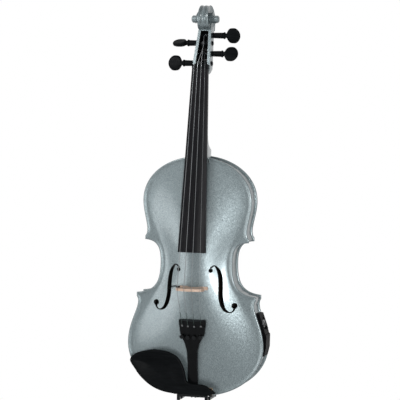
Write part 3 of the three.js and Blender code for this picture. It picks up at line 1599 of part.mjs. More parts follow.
function controlPanel() {
  const rib = overhang - gap;
  const split = doorTop + gap;
  const upper = sideStrip(overhang - panelProud, rib, split - gap, panelTop, panelNear, panelFar);
  const lower = sideStrip(doorInset(0), rib, panelBottom, split, panelNear, panelFar);
  const tray = frontSlab([...sidePath(overhang - gap * 2, boxBottom, trayTop),
    pointXY(trayBack, boxBottom), pointXY(trayBack, trayTop)], trayNear, trayFar);
  const inner = faceOfBattery - batterySize.x - batteryRoom - boxWall;
  const tube = block([inner, trayBack + gap], [trayNear, trayFar],
    [boxBottom, batteryMiddle + boxHalfTall]);
  const pocket = block([inner + boxWall, bodyLength],
    [ribMiddle - batterySize.y / 2 - batteryRoom, ribMiddle + batterySize.y / 2 + batteryRoom],
    [boxBottom + boxWall, batteryMiddle + boxHalfTall - boxWall]);
  const recess = sideStrip(doorInset(-overrun), doorInset(doorThickness + gap),
    doorBottom - hingeRadius - gap, doorTop + gap, doorNear - gap, doorFar + gap);
  const wheels = Object.values(wheelHeights).flatMap((z) => [
    wheelDisc(z, wheelRadius + gap * 2, wheelWidth / 2 + gap, bore, 20),
    wheelDisc(z, wheelPin + runningGap, wheelWidth / 2 + wheelPin, bore, 12),
  ]);
  const behind = alongX(inner, jackSeat - jackWall, jackBody + gap, bore, 16);
  const through = alongX(inner, bodyLength, jackSleeve + gap, bore, 16);
  const dish = alongX(jackSeat, bodyLength, jackNut + gap * 3, bore, 20);
  const pivot = hingeRod(doorNear - hingeRadius, doorFar + hingeRadius, hingeRadius + runningGap, bore);
  const groove = hingeRod(doorNear - gap, doorFar + gap, hingeRadius + gap, bore);
  return cut(joined(upper, lower, tray, tube), pocket, recess, ...wheels, behind, through, dish, pivot, groove);
}

const jackWall = 2.5;
const faceOfBattery = pivotPlace().x - doorThickness / 2 - 2 * gap;

function batteryDoor() {
  const cover = sideStrip(doorInset(0), doorInset(doorThickness), doorBottom, doorTop, doorNear, doorFar);
  return joined(cover, hingeRod(doorNear - hingeRadius + gap, doorFar + hingeRadius - gap, hingeRadius, rod));
}

function battery() {
  const cell = block([faceOfBattery - batterySize.x, faceOfBattery],
    [ribMiddle - batterySize.y / 2, ribMiddle + batterySize.y / 2],
    [batteryMiddle - batterySize.z / 2, batteryMiddle + batterySize.z / 2]);
  return cell;
}

function thumbWheel(z) {
  return joined(wheelDisc(z, wheelRadius, wheelWidth / 2, rod, 24),
    wheelDisc(z, wheelPin, wheelWidth / 2 + wheelPin - gap, rod, 12));
}

function outputJack() {
  const nutFace = gap + jackNutHeight;
  const behindWall = -jackWall - gap;
  const boreEnd = jackReach - jackBoreDepth;
  const profile = [
    [jackBore, jackReach], [jackSleeve, jackReach], [jackSleeve, nutFace], [jackNut, nutFace], [jackNut, gap],
    [jackSleeve, gap], [jackSleeve, behindWall], [jackBody, behindWall], [jackBody, -jackDepth],
    [0, -jackDepth], [0, boreEnd], [jackBore, boreEnd], [jackBore, jackReach],
  ];
  return turned(profile, point(jackSeat, jackSet, jackHeight), point(1, 0, 0), 16);
}

function preampBoard() {
  return block([trayBack - gap - circuitThickness, trayBack - gap], [jackSet + jackBody + gap * 3, trayFar],
    [batteryMiddle + boxHalfTall + gap, trayTop]);
}

// Pickup on the bridge's bass wing; its lead goes in at the f-hole and across to the board.
const pickupSize = { x: 5, y: 6, z: 1.3 };
const leadRadius = 0.7;
// The lead's route: at the bridge and into the f-hole, measured from the bridge's height, then on to the
// board, measured from the tray's inner end and the jack's height.
const leadAtBridge = [
  [-20.5, -29, 3.4], [-24, -24, 3.4], [-30, -14.5, 2], [-35.5, -10.6, 0], [-38.6, -8.5, -2],
  [-39.6, -3, -3.5], [-39.4, 6, -6], [-34, 15, -12], [-20, 20, -20], [0, 22, -28],
];
const leadAtBoard = [[-61.5, 23, 16], [-39.5, 24, 8], [-21.5, 24.5, 2], [-9.5, 24.8, -0.6]];

function bridgePickup() {
  const face = bridgeHeight + bridgeThick / 2 + gap;
  const [x, y] = leadAtBridge[0];
  const plate = block([x - pickupSize.x * 0.2, x + pickupSize.x * 0.8],
    [y - pickupSize.y * 0.7, y + pickupSize.y * 0.3], [face - pickupSize.z / 2, face + pickupSize.z]);
  const end = point(trayBack - gap * 2 - circuitThickness, wheelSet, jackHeight);
  const places = [
    ...leadAtBridge.map(([across, back, up]) => point(across, back, bridgeHeight + up)),
    ...leadAtBoard.map(([across, back, up]) => point(trayBack + across, back, jackHeight + up)),
  ];
  const route = new THREE.CatmullRomCurve3([...places, end]);
  return joined(plate, wire(route.getPoints(26), leadRadius, 5));
}

// Assembly

const top = topPlate();
const back = backPlate();
const underTop = moved(top, 0, gap, 0);
const overTop = moved(top, 0, -gap, 0);
const overBack = moved(back, 0, -gap, 0);

const body = new THREE.Group();
violin.add(body);
piece('top_plate', top, flake, body);
piece('back_plate', back, flake, body);
piece('neck_block', neckBlock(), spruce, body);
piece('end_block', endBlock(), spruce, body);
for (const [word, side] of [['bass', -1], ['treble', 1]]) {
  piece(`upper_${word}_corner_block`, cornerBlock(true, side), spruce, body);
  piece(`lower_${word}_corner_block`, cornerBlock(false, side), spruce, body);
  piece(`upper_${word}_rib`, cut(rib('upper', side), neckRoot(gap)), flake, body);
  piece(`waist_${word}_rib`, rib('waist', side), flake, body);
  const lower = cut(rib('lower', side), endPinHole(), ribSeam());
  piece(`lower_${word}_rib`, side > 0 ? cut(lower, ...panelOpenings()) : lower, flake, body);
}
piece('bass_bar', bassBar(), spruce, body);
piece('sound_post', soundPost(), spruce, body);

const neck = new THREE.Group();
violin.add(neck);
piece('neck_and_scroll', neckAndScroll(), flake, neck);

const boardFrame = new THREE.Group();
boardFrame.position.set(0, -boardUnderNut, nutHeight);
boardFrame.rotation.x = -boardAngle;
neck.add(boardFrame);
piece('fingerboard', fingerboard(), ebony, boardFrame);
piece('nut', stringNut(), ebony, boardFrame);

courses.forEach((course, index) => {
  piece(`${course.name}_peg`, peg(course), ebony, neck);
  const wound = windingPoints(course, index);
  piece(`${course.name}_string_winding`, wire(wound, course.wire / 2, windingSides), steel, neck);
  const least = leastTurnGap(wound, course.wire);
  console.log(`${course.name} winding: least gap to itself ${least.toFixed(2)} mm`);
});

const fittings = new THREE.Group();
violin.add(fittings);
piece('bridge', cut(bridgeBlank(), overTop), maple, fittings);

courses.forEach((course, index) => {
  piece(`${course.name}_string`, wire(stringPath(course, index), course.wire / 2), steel, fittings);
});

const tailFrame = new THREE.Group();
tailFrame.position.set(0, -tailSet, tailBottom);
tailFrame.rotation.x = tailAngle;
fittings.add(tailFrame);
piece('tailpiece', tailpiece(), plastic, tailFrame);
piece('tuner_pivot_pin', pivotPin(0, tailHeadHalf - tailWall), steel, tailFrame);
for (const place of tunerPlaces()) {
  piece(`${place.name}_tuner_screw`, tunerScrew(place), chrome, tailFrame);
  piece(`${place.name}_tuner_lever`, tunerLever(place), steel, tailFrame);
}

piece('saddle', saddle(), ebony, fittings);
piece('end_button', endButton(), ebony, fittings);
piece('tailgut', tailgut(), plastic, fittings);

const chinGroup = new THREE.Group();
violin.add(chinGroup);
piece('chinrest', chinrest(), ebony, chinGroup);
piece('chinrest_bass_cork', corkPad(-1), corkLook, chinGroup);
piece('chinrest_treble_cork', corkPad(1), corkLook, chinGroup);
piece('clamp_upper_bracket', upperBracket(), chrome, chinGroup);
piece('clamp_lower_bracket', lowerBracket(), chrome, chinGroup);
piece('clamp_bass_barrel', clampBarrel(-1), chrome, chinGroup);
piece('clamp_treble_barrel', clampBarrel(1), chrome, chinGroup);

const electrics = new THREE.Group();
violin.add(electrics);
piece('control_panel', controlPanel(), plastic, electrics);
piece('battery_door', batteryDoor(), plastic, electrics);
piece('battery', battery(), foil, electrics);
for (const [name, z] of Object.entries(wheelHeights)) {
  piece(name, thumbWheel(z), plastic, electrics);
}
piece('output_jack', outputJack(), steel, electrics);
piece('preamp_board', preampBoard(), circuit, electrics);
piece('bridge_pickup', bridgePickup(), plastic, electrics);

export default violin;
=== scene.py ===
"""Looks of a full-size electric violin in silver flake lacquer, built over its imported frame."""
import math

import bpy
import numpy as np
from mathutils import Matrix, Vector
from mathutils.geometry import delaunay_2d_cdt

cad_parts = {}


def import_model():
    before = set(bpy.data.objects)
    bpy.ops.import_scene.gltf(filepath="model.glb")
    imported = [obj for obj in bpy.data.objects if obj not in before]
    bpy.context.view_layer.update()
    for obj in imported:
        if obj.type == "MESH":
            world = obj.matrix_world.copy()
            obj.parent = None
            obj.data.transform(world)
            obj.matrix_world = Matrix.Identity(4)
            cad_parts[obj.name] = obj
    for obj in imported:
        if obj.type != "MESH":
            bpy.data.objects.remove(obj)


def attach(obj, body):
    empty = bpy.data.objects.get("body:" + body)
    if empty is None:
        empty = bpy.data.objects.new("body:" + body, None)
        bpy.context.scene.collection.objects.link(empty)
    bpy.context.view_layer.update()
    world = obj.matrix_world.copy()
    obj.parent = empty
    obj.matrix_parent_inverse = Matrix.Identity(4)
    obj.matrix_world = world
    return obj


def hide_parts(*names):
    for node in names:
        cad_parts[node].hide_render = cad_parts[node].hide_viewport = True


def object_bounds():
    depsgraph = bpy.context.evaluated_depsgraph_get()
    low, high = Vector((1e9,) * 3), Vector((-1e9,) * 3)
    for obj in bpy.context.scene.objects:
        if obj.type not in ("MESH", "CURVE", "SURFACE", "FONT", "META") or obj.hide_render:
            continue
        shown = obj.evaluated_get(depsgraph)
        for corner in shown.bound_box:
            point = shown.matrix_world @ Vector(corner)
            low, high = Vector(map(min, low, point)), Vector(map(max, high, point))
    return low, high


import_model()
cad_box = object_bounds()

# Frame: the instrument's own millimetres (z = 0 at the body's lower end, y = 0 at the front
# plate's edge) and the place of the hanger, which is the frame's origin.
MM = 0.001
HANGER_SET = 27
HANGER_HEIGHT = 551

# Camera, fitted to the photograph (millimetres and degrees)
VIEW_AZIMUTH = 15.16
VIEW_ELEVATION = 4.33
VIEW_ROLL = 0.92
VIEW_DISTANCE = 2958
VIEW_TARGET = (1.77, 10, 291.4)
VIEW_END = 30             # metres
SENSOR = 36
LENS = 180.1

# Lamps: place and aim in metres, width and height of the soft box, power in watts
BODY_AIM = (0, 0, -0.35)
LAMPS = {
    "front": ((0.92, -2.21, -0.25), BODY_AIM, (0.24, 0.38), 40),
    "left": ((-1.70, -1.85, -0.45), BODY_AIM, (0.9, 0.9), 15),
    "rim": ((1.9, -0.5, -0.3), (0, 0, -0.25), (0.5, 1.4), 2),
    "head": ((-0.30, -0.45, 0.22), (0, 0, 0.01), (0.16, 0.16), 2.6),
}
ROOM_COLOUR = (0.80, 0.84, 0.87)
ROOM_STRENGTH = 0.2
WHITE = (1, 1, 1)
FLOOR_DROP = 0.75         # metres from the body's lower end down to the floor
FLOOR_SIZE = 12

# Body outline and plates, as in the frame
BODY_LENGTH = 356
HEIGHT_SHARES = {"upper_line": 290 / 356, "upper_tip": 236.4 / 356, "waist_line": 198 / 356,
                 "bridge": 163 / 356, "lower_tip": 151.5 / 356, "lower_line": 77 / 356}
HEIGHTS = {name: BODY_LENGTH * share for name, share in HEIGHT_SHARES.items()}
UPPER_HALF, UPPER_LINE = 83, HEIGHTS["upper_line"]
WAIST_HALF, WAIST_LINE = 55, HEIGHTS["waist_line"]
LOWER_HALF, LOWER_LINE = 104, HEIGHTS["lower_line"]
BRIDGE_LINE = HEIGHTS["bridge"]
UPPER_TIP_IN, UPPER_TIP_TALL = 3.7, 5.4
LOWER_TIP_IN, LOWER_TIP_TALL = 12.7, 6
UPPER_TIP = (UPPER_HALF - UPPER_TIP_IN, HEIGHTS["upper_tip"], HEIGHTS["upper_tip"] - UPPER_TIP_TALL)
LOWER_TIP = (LOWER_HALF - LOWER_TIP_IN, HEIGHTS["lower_tip"], HEIGHTS["lower_tip"] - LOWER_TIP_TALL)
CORNER_RUN = 8.6
EDGE_THICKNESS = 4
PLATE_THICKNESS = 3
RIB_HEIGHT = 30
RIB_BACK = EDGE_THICKNESS + RIB_HEIGHT
RIB_THICKNESS = 1.2
CHANNEL_INSET = 6.5
CHANNEL_DEPTH = 1.1
FRONT_ARCH = 12
BACK_ARCH = 11
LONG_ARCH_POWER = 2.6
CROSS_ARCH_POWER = 0.75
PLATFORM = 9
NECK_BLOCK, END_BLOCK = 16, 14
OVERHANG = 2.5
GAP = 0.3
TENON = 6
BUTTON_RADIUS = 11
HEEL_CLEAR = 9
EDGE_ROUND = 1.6
SADDLE_HALF, SADDLE_DEPTH = 17, 7
ROOT_HALF = 16.9

COURSES = ("g", "d", "a", "e")


def mix(a, b, share):
    return a + (b - a) * share


def smooth(share):
    """Zero to one with a level start and end."""
    share = np.clip(share, 0, 1)
    return share * share * (3 - 2 * share)


def world(x, y, z):
    """A place on the instrument, in millimetres, as a point of the frame, in metres."""
    return Vector((x * MM, (y - HANGER_SET) * MM, (z - HANGER_HEIGHT) * MM))


# Shader trees

class Nodes:
    """A tree of shader nodes under construction, with short calls that add to it."""

    def __init__(self, tree):
        self.nodes = tree.nodes
        self.links = tree.links

    def add(self, kind, inputs=None, **settings):
        node = self.nodes.new(kind)
        for key, value in settings.items():
            setattr(node, key, value)
        for key, value in (inputs or {}).items():
            self.feed(value, node.inputs[key])
        return node

    def feed(self, value, socket):
        if isinstance(value, bpy.types.NodeSocket):
            self.links.new(value, socket)
        elif socket.type == "RGBA":
            socket.default_value = (*value, 1)
        else:
            socket.default_value = value

    def calc(self, operation, *values):
        """A sum, product or test of numbers and sockets."""
        return self.add("ShaderNodeMath", dict(enumerate(values)), operation=operation).outputs[0]

    def vector(self, operation, *values):
        return self.add("ShaderNodeVectorMath", dict(enumerate(values)), operation=operation).outputs[0]

    def white_rays(self):
        """One for rays from the camera and for mirrored and clear ones, zero for all others."""
        ray = self.add("ShaderNodeLightPath").outputs
        clear = self.calc("MAXIMUM", ray["Is Glossy Ray"], ray["Is Transmission Ray"])
        return self.calc("MAXIMUM", ray["Is Camera Ray"], clear)


class Shader(Nodes):
    """A material under construction: a Principled shader and what feeds it."""

    def __init__(self, name):
        self.material = bpy.data.materials.new(name)
        self.material.use_nodes = True
        super().__init__(self.material.node_tree)
        self.surface = self.nodes["Principled BSDF"]
        self.place = self.nodes.new("ShaderNodeTexCoord").outputs["Object"]

    def axes(self):
        return self.add("ShaderNodeSeparateXYZ", {"Vector": self.place}).outputs

    def stretched(self, scale):
        return self.add("ShaderNodeMapping", {"Vector": self.place, "Scale": scale}).outputs["Vector"]

    def noise(self, scale, detail=3, place=None, rough=0.5):
        return self.add("ShaderNodeTexNoise", {"Vector": place or self.place, "Scale": scale,
                                               "Detail": detail, "Roughness": rough}).outputs["Fac"]

    def cells(self, scale):
        return self.add("ShaderNodeTexVoronoi", {"Vector": self.place, "Scale": scale}).outputs

    def ramp(self, value, stops):
        node = self.add("ShaderNodeValToRGB", {"Fac": value})
        elements = node.color_ramp.elements
        while len(elements) < len(stops):
            elements.new(1)
        for element, (at, colour) in zip(elements, stops):
            element.position = at
            shade = colour if isinstance(colour, tuple) else (colour, colour, colour)
            element.color = (*shade, 1)
        return node.outputs["Color"]

    def span(self, value, low, high, start=0, end=1):
        """What runs from low to high while the value runs from start to end."""
        return self.add("ShaderNodeMapRange", {"Value": value, "From Min": start, "From Max": end,
                                               "To Min": low, "To Max": high}).outputs["Result"]

    def blend(self, share, first, second, mode="MIX"):
        node = self.add("ShaderNodeMix", {0: share, 6: first, 7: second}, data_type="RGBA", blend_type=mode)
        return node.outputs[2]

    def bump(self, height, distance, strength):
        return self.add("ShaderNodeBump", {"Height": height, "Distance": distance,
                                           "Strength": strength}).outputs["Normal"]

    def finish(self, **inputs):
        for key, value in inputs.items():
            self.feed(value, self.surface.inputs[key.replace("_", " ")])
        return self.material


# Lacquer

FLAKE_SIZE = 0.5 * MM
FINE_FLAKES = 2.3         # how many times smaller the second layer's flakes are
FLAKE_TILT = 0.12
FLUTE_SPACING = 7.6 * MM  # between the ridges that run round the scroll
FLUTE_DEPTH = 1.2 * MM
FLUTE_LOW = 545           # the flutes fade out below the throat
POCKET_LOW, POCKET_HIGH = 487.5, 541      # heights of the pegbox's hollow
POCKET_HALF = (9.1, 5.8)                  # its half width at those heights
POCKET_BACK = (29.5, 46)                  # behind the front plate's edge: within the pegbox's floor


def pocket_shade_mask(s):
    """One inside the pegbox's hollow, where painted shade turns the lacquer near black, zero elsewhere."""
    x, y, z = s.axes()
    ends = [world(0, 0, height).z for height in (POCKET_LOW, POCKET_HIGH)]
    half = s.span(z, *(half * MM for half in POCKET_HALF), *ends)
    back = s.span(z, *(world(0, back, 0).y for back in POCKET_BACK), *ends)
    tests = [s.calc("LESS_THAN", s.calc("ABSOLUTE", x), half), s.calc("LESS_THAN", y, back),
             s.calc("GREATER_THAN", z, ends[0]), s.calc("LESS_THAN", z, ends[1])]
    mask = tests[0]
    for test in tests[1:]:
        mask = s.calc("MULTIPLY", mask, test)
    return mask


def scroll_flutes(s):
    """One on the ridges round the scroll and everywhere below it, less in the grooves between them."""
    x, _, z = s.axes()
    across = s.calc("MINIMUM", s.calc("ABSOLUTE", x), FLUTE_SPACING)
    wave = s.calc("COSINE", s.calc("MULTIPLY", across, 2 * math.pi / FLUTE_SPACING))
    groove = s.calc("MULTIPLY", s.calc("SUBTRACT", wave, 1), 1 / 2)
    low = world(0, 0, FLUTE_LOW).z
    return s.calc("ADD", s.calc("MULTIPLY", groove, s.span(z, 0, 1, low, low + FLUTE_SPACING)), 1)


def flake_lacquer():
    """Silver flakes, each at its own small tilt, under a deep clear coat; painted shade darkens the grooves
    round the scroll, and the pegbox's hollow is painted near black as painted shade.
    """
    s = Shader("silver_flake_lacquer")
    flake = s.cells(1 / FLAKE_SIZE)["Color"]
    fine = s.cells(FINE_FLAKES / FLAKE_SIZE)["Color"]
    lean = s.vector("SUBTRACT", flake, (1 / 2, 1 / 2, 1 / 2))
    tilt = s.add("ShaderNodeVectorMath", {0: lean, "Scale": FLAKE_TILT}, operation="SCALE").outputs[0]
    flutes = scroll_flutes(s)
    normal = s.vector("NORMALIZE", s.vector("ADD", s.bump(flutes, FLUTE_DEPTH, 1), tilt))
    colour = s.ramp(flake, [(0.0, (0.07, 0.088, 0.093)), (0.5, (0.14, 0.172, 0.181)),
                            (1.0, (0.23, 0.272, 0.283))])
    # random tones of the flakes and the cloud, then painted shade that darkens the grooves round the scroll
    tones_and_groove_shade = [s.ramp(fine, [(0.0, 0.90), (1.0, 1.0)]),
              s.ramp(s.noise(9, 2), [(0.35, 0.95), (0.65, 1.0)]),
              s.ramp(flutes, [(0.0, 0.50), (0.45, 1.0)])]
    for shade in tones_and_groove_shade:
        colour = s.blend(1, colour, shade, "MULTIPLY")
    # painted shade: the lacquer in the pegbox's hollow is painted near black
    colour = s.blend(pocket_shade_mask(s), colour, (0.004, 0.004, 0.004))
    return s.finish(Base_Color=colour, Metallic=0.5, Roughness=s.span(s.noise(60, 4), 0.31, 0.39),
                    Normal=normal, Specular_IOR_Level=0.3, Coat_Weight=0.6, Coat_Roughness=0.12, Coat_IOR=1.3)


# Woods, plastics and metals

MARK_RELIEF = 0.01 * MM   # reliefs: how deep a surface's pattern goes
SKIN_RELIEF = 0.02 * MM
GRAIN_RELIEF = 0.03 * MM
FLECK_RELIEF = 0.04 * MM
RING_RELIEF = 0.05 * MM
CORK_RELIEF = 0.1 * MM
SILK_TOP = 128            # height of the silk wraps' upper ends, in instrument millimetres
SILK_COLOUR = (0.006, 0.014, 0.012)


def ebony():
    """Near-black wood with a fine long grain and a soft hand-rubbed sheen."""
    s = Shader("black_ebony")
    grain = s.noise(700, 4, s.stretched((1, 1, 0.03)), 0.6)
    colour = s.ramp(grain, [(0.3, (0.003, 0.003, 0.004)), (0.7, (0.009, 0.009, 0.010))])
    return s.finish(Base_Color=colour, Roughness=s.span(s.noise(45, 3), 0.30, 0.44),
                    Normal=s.bump(grain, GRAIN_RELIEF, 0.6), Specular_IOR_Level=0.05)


def waxed_ebony():
    """Turned and carved black wood, waxed, with its grain across the piece."""
    s = Shader("waxed_ebony")
    grain = s.noise(500, 4, s.stretched((0.08, 1, 1)), 0.6)
    colour = s.ramp(grain, [(0.3, (0.0012, 0.0015, 0.0018)), (0.7, (0.0035, 0.0042, 0.0048))])
    return s.finish(Base_Color=colour, Roughness=s.span(s.noise(80, 3), 0.36, 0.50),
                    Normal=s.bump(grain, SKIN_RELIEF, 0.5), Specular_IOR_Level=0.03)


def black_plastic(name="black_plastic", low=0.22, high=0.34, colour=(0.003, 0.0033, 0.0036), shine=0.05):
    """Moulded black plastic with a faint orange-peel skin and slight wear in its gloss."""
    s = Shader(name)
    skin = s.noise(1800, 2)
    stain = s.noise(35, 4)
    shade = s.ramp(stain, [(0.35, colour), (0.7, tuple(c * 1.7 for c in colour))])
    return s.finish(Base_Color=shade, Roughness=s.span(stain, low, high),
                    Normal=s.bump(skin, SKIN_RELIEF, 0.4), Specular_IOR_Level=shine)


def maple():
    """Unvarnished maple: pale pinkish wood with short dark flecks along the grain."""
    s = Shader("pale_maple")
    fleck = s.noise(900, 3, s.stretched((0.16, 1, 1)), 0.6)
    band = s.noise(160, 2, s.stretched((1, 1, 0.3)))
    colour = s.ramp(fleck, [(0.3, (0.33, 0.21, 0.15)), (0.5, (0.46, 0.33, 0.25)), (0.8, (0.54, 0.41, 0.32))])
    colour = s.blend(0.35, colour, s.ramp(band, [(0.3, 0.75), (0.7, 1.0)]), "MULTIPLY")
    return s.finish(Base_Color=colour, Roughness=s.span(fleck, 0.45, 0.6),
                    Normal=s.bump(fleck, FLECK_RELIEF, 0.6))


def spruce(name, dark, light):
    """Split softwood with straight annual rings."""
    s = Shader(name)
    ring = s.noise(600, 2, s.stretched((1, 1, 0.04)))
    colour = s.ramp(ring, [(0.35, dark), (0.55, light)])
    return s.finish(Base_Color=colour, Roughness=0.7, Normal=s.bump(ring, RING_RELIEF, 0.6))


def string_metal(course):
    """Wound steel with its fine turns, and the silk wrap at its lower end."""
    s = Shader(f"{course}_string_metal")
    wave = s.add("ShaderNodeTexWave", {"Vector": s.place, "Scale": 900}, bands_direction="Z").outputs["Fac"]
    stain = s.noise(120, 3, s.stretched((1, 1, 0.2)))
    steel = s.ramp(stain, [(0.3, (0.17, 0.18, 0.185)), (0.7, (0.26, 0.27, 0.28))])
    silk = s.blend(wave, SILK_COLOUR, tuple(c * 2 for c in SILK_COLOUR))
    bare = s.calc("GREATER_THAN", s.axes()["Z"], world(0, 0, SILK_TOP).z)
    return s.finish(Base_Color=s.blend(bare, silk, steel), Metallic=bare, Roughness=s.span(bare, 0.75, 0.28),
                    Normal=s.bump(wave, SKIN_RELIEF, 0.5))


def metal(name, colour, low, high):
    """Bare or plated metal with fine marks all over it."""
    s = Shader(name)
    marks = s.noise(400, 4, rough=0.6)
    shade = s.ramp(marks, [(0.3, tuple(c * 0.8 for c in colour)), (0.7, colour)])
    return s.finish(Base_Color=shade, Metallic=1, Roughness=s.span(marks, low, high),
                    Normal=s.bump(marks, MARK_RELIEF, 0.4))


def pressed_cork():
    """Granules of several browns with dark specks between."""
    s = Shader("pressed_cork")
    grains = s.cells(900)
    colour = s.ramp(grains["Color"], [(0.2, (0.20, 0.11, 0.05)), (0.5, (0.40, 0.25, 0.12)),
                                      (0.9, (0.52, 0.35, 0.19))])
    return s.finish(Base_Color=colour, Roughness=0.85, Normal=s.bump(grains["Distance"], CORK_RELIEF, 0.7))


def circuit_board():
    """Green lacquered board with faint tracks under the mask."""
    s = Shader("circuit_board")
    tracks = s.add("ShaderNodeTexBrick", {"Vector": s.place, "Scale": 180, "Color1": (0.012, 0.07, 0.03),
                                          "Color2": (0.016, 0.09, 0.035), "Mortar": (0.03, 0.16, 0.06)})
    return s.finish(Base_Color=tracks.outputs["Color"], Roughness=s.span(s.noise(90), 0.3, 0.45),
                    Coat_Weight=0.4)


LACQUER = flake_lacquer()
EBONY = ebony()
WAXED = waxed_ebony()
PLASTIC = black_plastic()
PANEL = black_plastic("panel_plastic", 0.3, 0.45, (0.003, 0.003, 0.0034), 0.012)
MAPLE = maple()
SPRUCE = spruce("pale_spruce", (0.42, 0.28, 0.13), (0.66, 0.50, 0.29))
# painted shade: the plates' inner faces, seen through the f-holes, are spruce darkened to near black
INSIDE = spruce("painted_shade_inside", (0.010, 0.008, 0.006), (0.020, 0.016, 0.012))
BLACKED = metal("blackened_steel", (0.016, 0.017, 0.018), 0.24, 0.38)
STEEL = metal("lever_steel", (0.16, 0.165, 0.17), 0.26, 0.38)
FOIL = metal("battery_wrap", (0.10, 0.11, 0.12), 0.3, 0.4)
CORK = pressed_cork()
BOARD = circuit_board()
# the walls of the f-holes are near black
HOLE_WALL = black_plastic("black_hole_wall", 0.5, 0.6)
PLATE_LOOKS = (LACQUER, HOLE_WALL, INSIDE)

BOUTS = [f"{height}_{side}" for height in ("upper", "lower") for side in ("bass", "treble")]
NODE_LOOKS = {
    LACQUER: ["top_plate", "back_plate", *[f"{bout}_rib" for bout in BOUTS], "waist_bass_rib",
              "waist_treble_rib", "neck_and_scroll"],
    EBONY: ["fingerboard"],
    WAXED: ["nut", "saddle", "end_button", "chinrest", *[f"{course}_peg" for course in COURSES]],
    PLASTIC: ["tailpiece", "tailgut", "bridge_pickup"],
    PANEL: ["control_panel", "battery_door", "volume_wheel", "tone_wheel"],
    MAPLE: ["bridge"],
    SPRUCE: ["neck_block", "end_block", "bass_bar", "sound_post",
             *[f"{bout}_corner_block" for bout in BOUTS]],
    BLACKED: ["clamp_upper_bracket", "clamp_lower_bracket", "clamp_bass_barrel", "clamp_treble_barrel",
              "tuner_pivot_pin", *[f"{course}_tuner_screw" for course in COURSES]],
    STEEL: ["output_jack", *[f"{course}_tuner_lever" for course in COURSES]],
    FOIL: ["battery"],
    CORK: ["chinrest_bass_cork", "chinrest_treble_cork"],
    BOARD: ["preamp_board"],
}

# Smoothing of faceted solids

SHARP_ANGLE = math.radians(34)
WELD = 0.01 * MM


def smooth_by_angle():
    """Geometry nodes that weld a faceted solid and smooth all but its sharp edges."""
    group = bpy.data.node_groups.new("smooth_by_angle", "GeometryNodeTree")
    for way in ("INPUT", "OUTPUT"):
        group.interface.new_socket("Geometry", in_out=way, socket_type="NodeSocketGeometry")
    start = group.nodes.new("NodeGroupInput")
    weld = group.nodes.new("GeometryNodeMergeByDistance")
    weld.inputs["Distance"].default_value = WELD
    faces = group.nodes.new("GeometryNodeSetShadeSmooth")
    edges = group.nodes.new("GeometryNodeSetShadeSmooth")
    edges.domain = "EDGE"
    edges.inputs["Shade Smooth"].default_value = False
    angle = group.nodes.new("GeometryNodeInputMeshEdgeAngle")
    sharp = group.nodes.new("FunctionNodeCompare")
    sharp.operation = "GREATER_THAN"
    sharp.inputs[1].default_value = SHARP_ANGLE
    end = group.nodes.new("NodeGroupOutput")
    group.links.new(start.outputs[0], weld.inputs["Geometry"])
    group.links.new(weld.outputs[0], faces.inputs["Geometry"])
    group.links.new(faces.outputs[0], edges.inputs["Geometry"])
    group.links.new(angle.outputs["Unsigned Angle"], sharp.inputs[0])
    group.links.new(sharp.outputs[0], edges.inputs["Selection"])
    group.links.new(edges.outputs[0], end.inputs[0])
    return group


SMOOTH = smooth_by_angle()


def smoothed(piece):
    piece.modifiers.new("smooth", "NODES").node_group = SMOOTH
    return piece


def dress(name, material):
    """Give a node of the frame its material, and smooth it."""
    node = bpy.data.objects[name]
    node.data.materials.clear()
    node.data.materials.append(material)
    smoothed(node)


for material, names in NODE_LOOKS.items():
    for name in names:
        dress(name, material)
for course in COURSES:
    for name in (f"{course}_string", f"{course}_string_winding"):
        dress(name, string_metal(course))


def piece_from(name, points, faces, material, body, stands_for):
    """A new piece from places in instrument millimetres, in place of a node of the frame."""
    mesh = bpy.data.meshes.new(name)
    mesh.from_pydata([world(*p) for p in points], [], faces)
    mesh.validate()
    piece = bpy.data.objects.new(name, mesh)
    bpy.context.scene.collection.objects.link(piece)
    mesh.materials.append(material)
    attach(piece, body)
    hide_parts(stands_for)
    return smoothed(piece)


# Sheets: an outline filled with points, with a face in front, a face behind and a rounded edge

EDGE_STEPS = 5            # flats that make up a rounded edge
ROW_SHARE = 0.87          # height of a row of the grid's points against their spacing
RIM_CLEAR_SHARE = 0.7     # of the spacing, kept free inside the last ring
HOLE_CLEAR_SHARE = 0.3    # and round a hole
RING_SLACK_SHARE = 1 / 40  # of the spacing, by which a ring may come nearer to the rim than its inset
MERGE = 0.0001            # millimetres within which two points of the filling are one
LEAST_COSINE = 0.5        # at a corner sharper than this, insets grow no further


def ring_normals(loop):
    """Outward normals of a closed outline that runs clockwise as seen from the front."""
    before, after = np.roll(loop, 1, axis=0), np.roll(loop, -1, axis=0)
    first, second = loop - before, after - loop
    first /= np.linalg.norm(first, axis=1)[:, None]
    second /= np.linalg.norm(second, axis=1)[:, None]
    along = first + second
    along /= np.linalg.norm(along, axis=1)[:, None]
    stretch = 1 / np.clip((first * along).sum(axis=1), LEAST_COSINE, 1)
    return np.stack([-along[:, 1], along[:, 0]], axis=1) * stretch[:, None]


def distance_to(loop, spots, closed=True):
    """Distance from each spot to the nearest leg of an outline."""
    ends = np.roll(loop, -1, axis=0) if closed else loop[1:]
    starts = loop if closed else loop[:-1]
    least = np.full(len(spots), np.inf)
    for a, b in zip(starts, ends):
        side = b - a
        share = np.clip(((spots - a) @ side) / (side @ side), 0, 1)
        foot = a + share[:, None] * side
        least = np.minimum(least, np.hypot(*(spots - foot).T))
    return least


def inside(loop, spots):
    """Whether each spot lies within a closed outline."""
    odd = np.zeros(len(spots), bool)
    for a, b in zip(loop, np.roll(loop, -1, axis=0)):
        if a[1] == b[1]:
            continue
        crosses = (a[1] > spots[:, 1]) != (b[1] > spots[:, 1])
        slope = (b[0] - a[0]) / (b[1] - a[1])
        odd ^= crosses & (spots[:, 0] < a[0] + (spots[:, 1] - a[1]) * slope)
    return odd


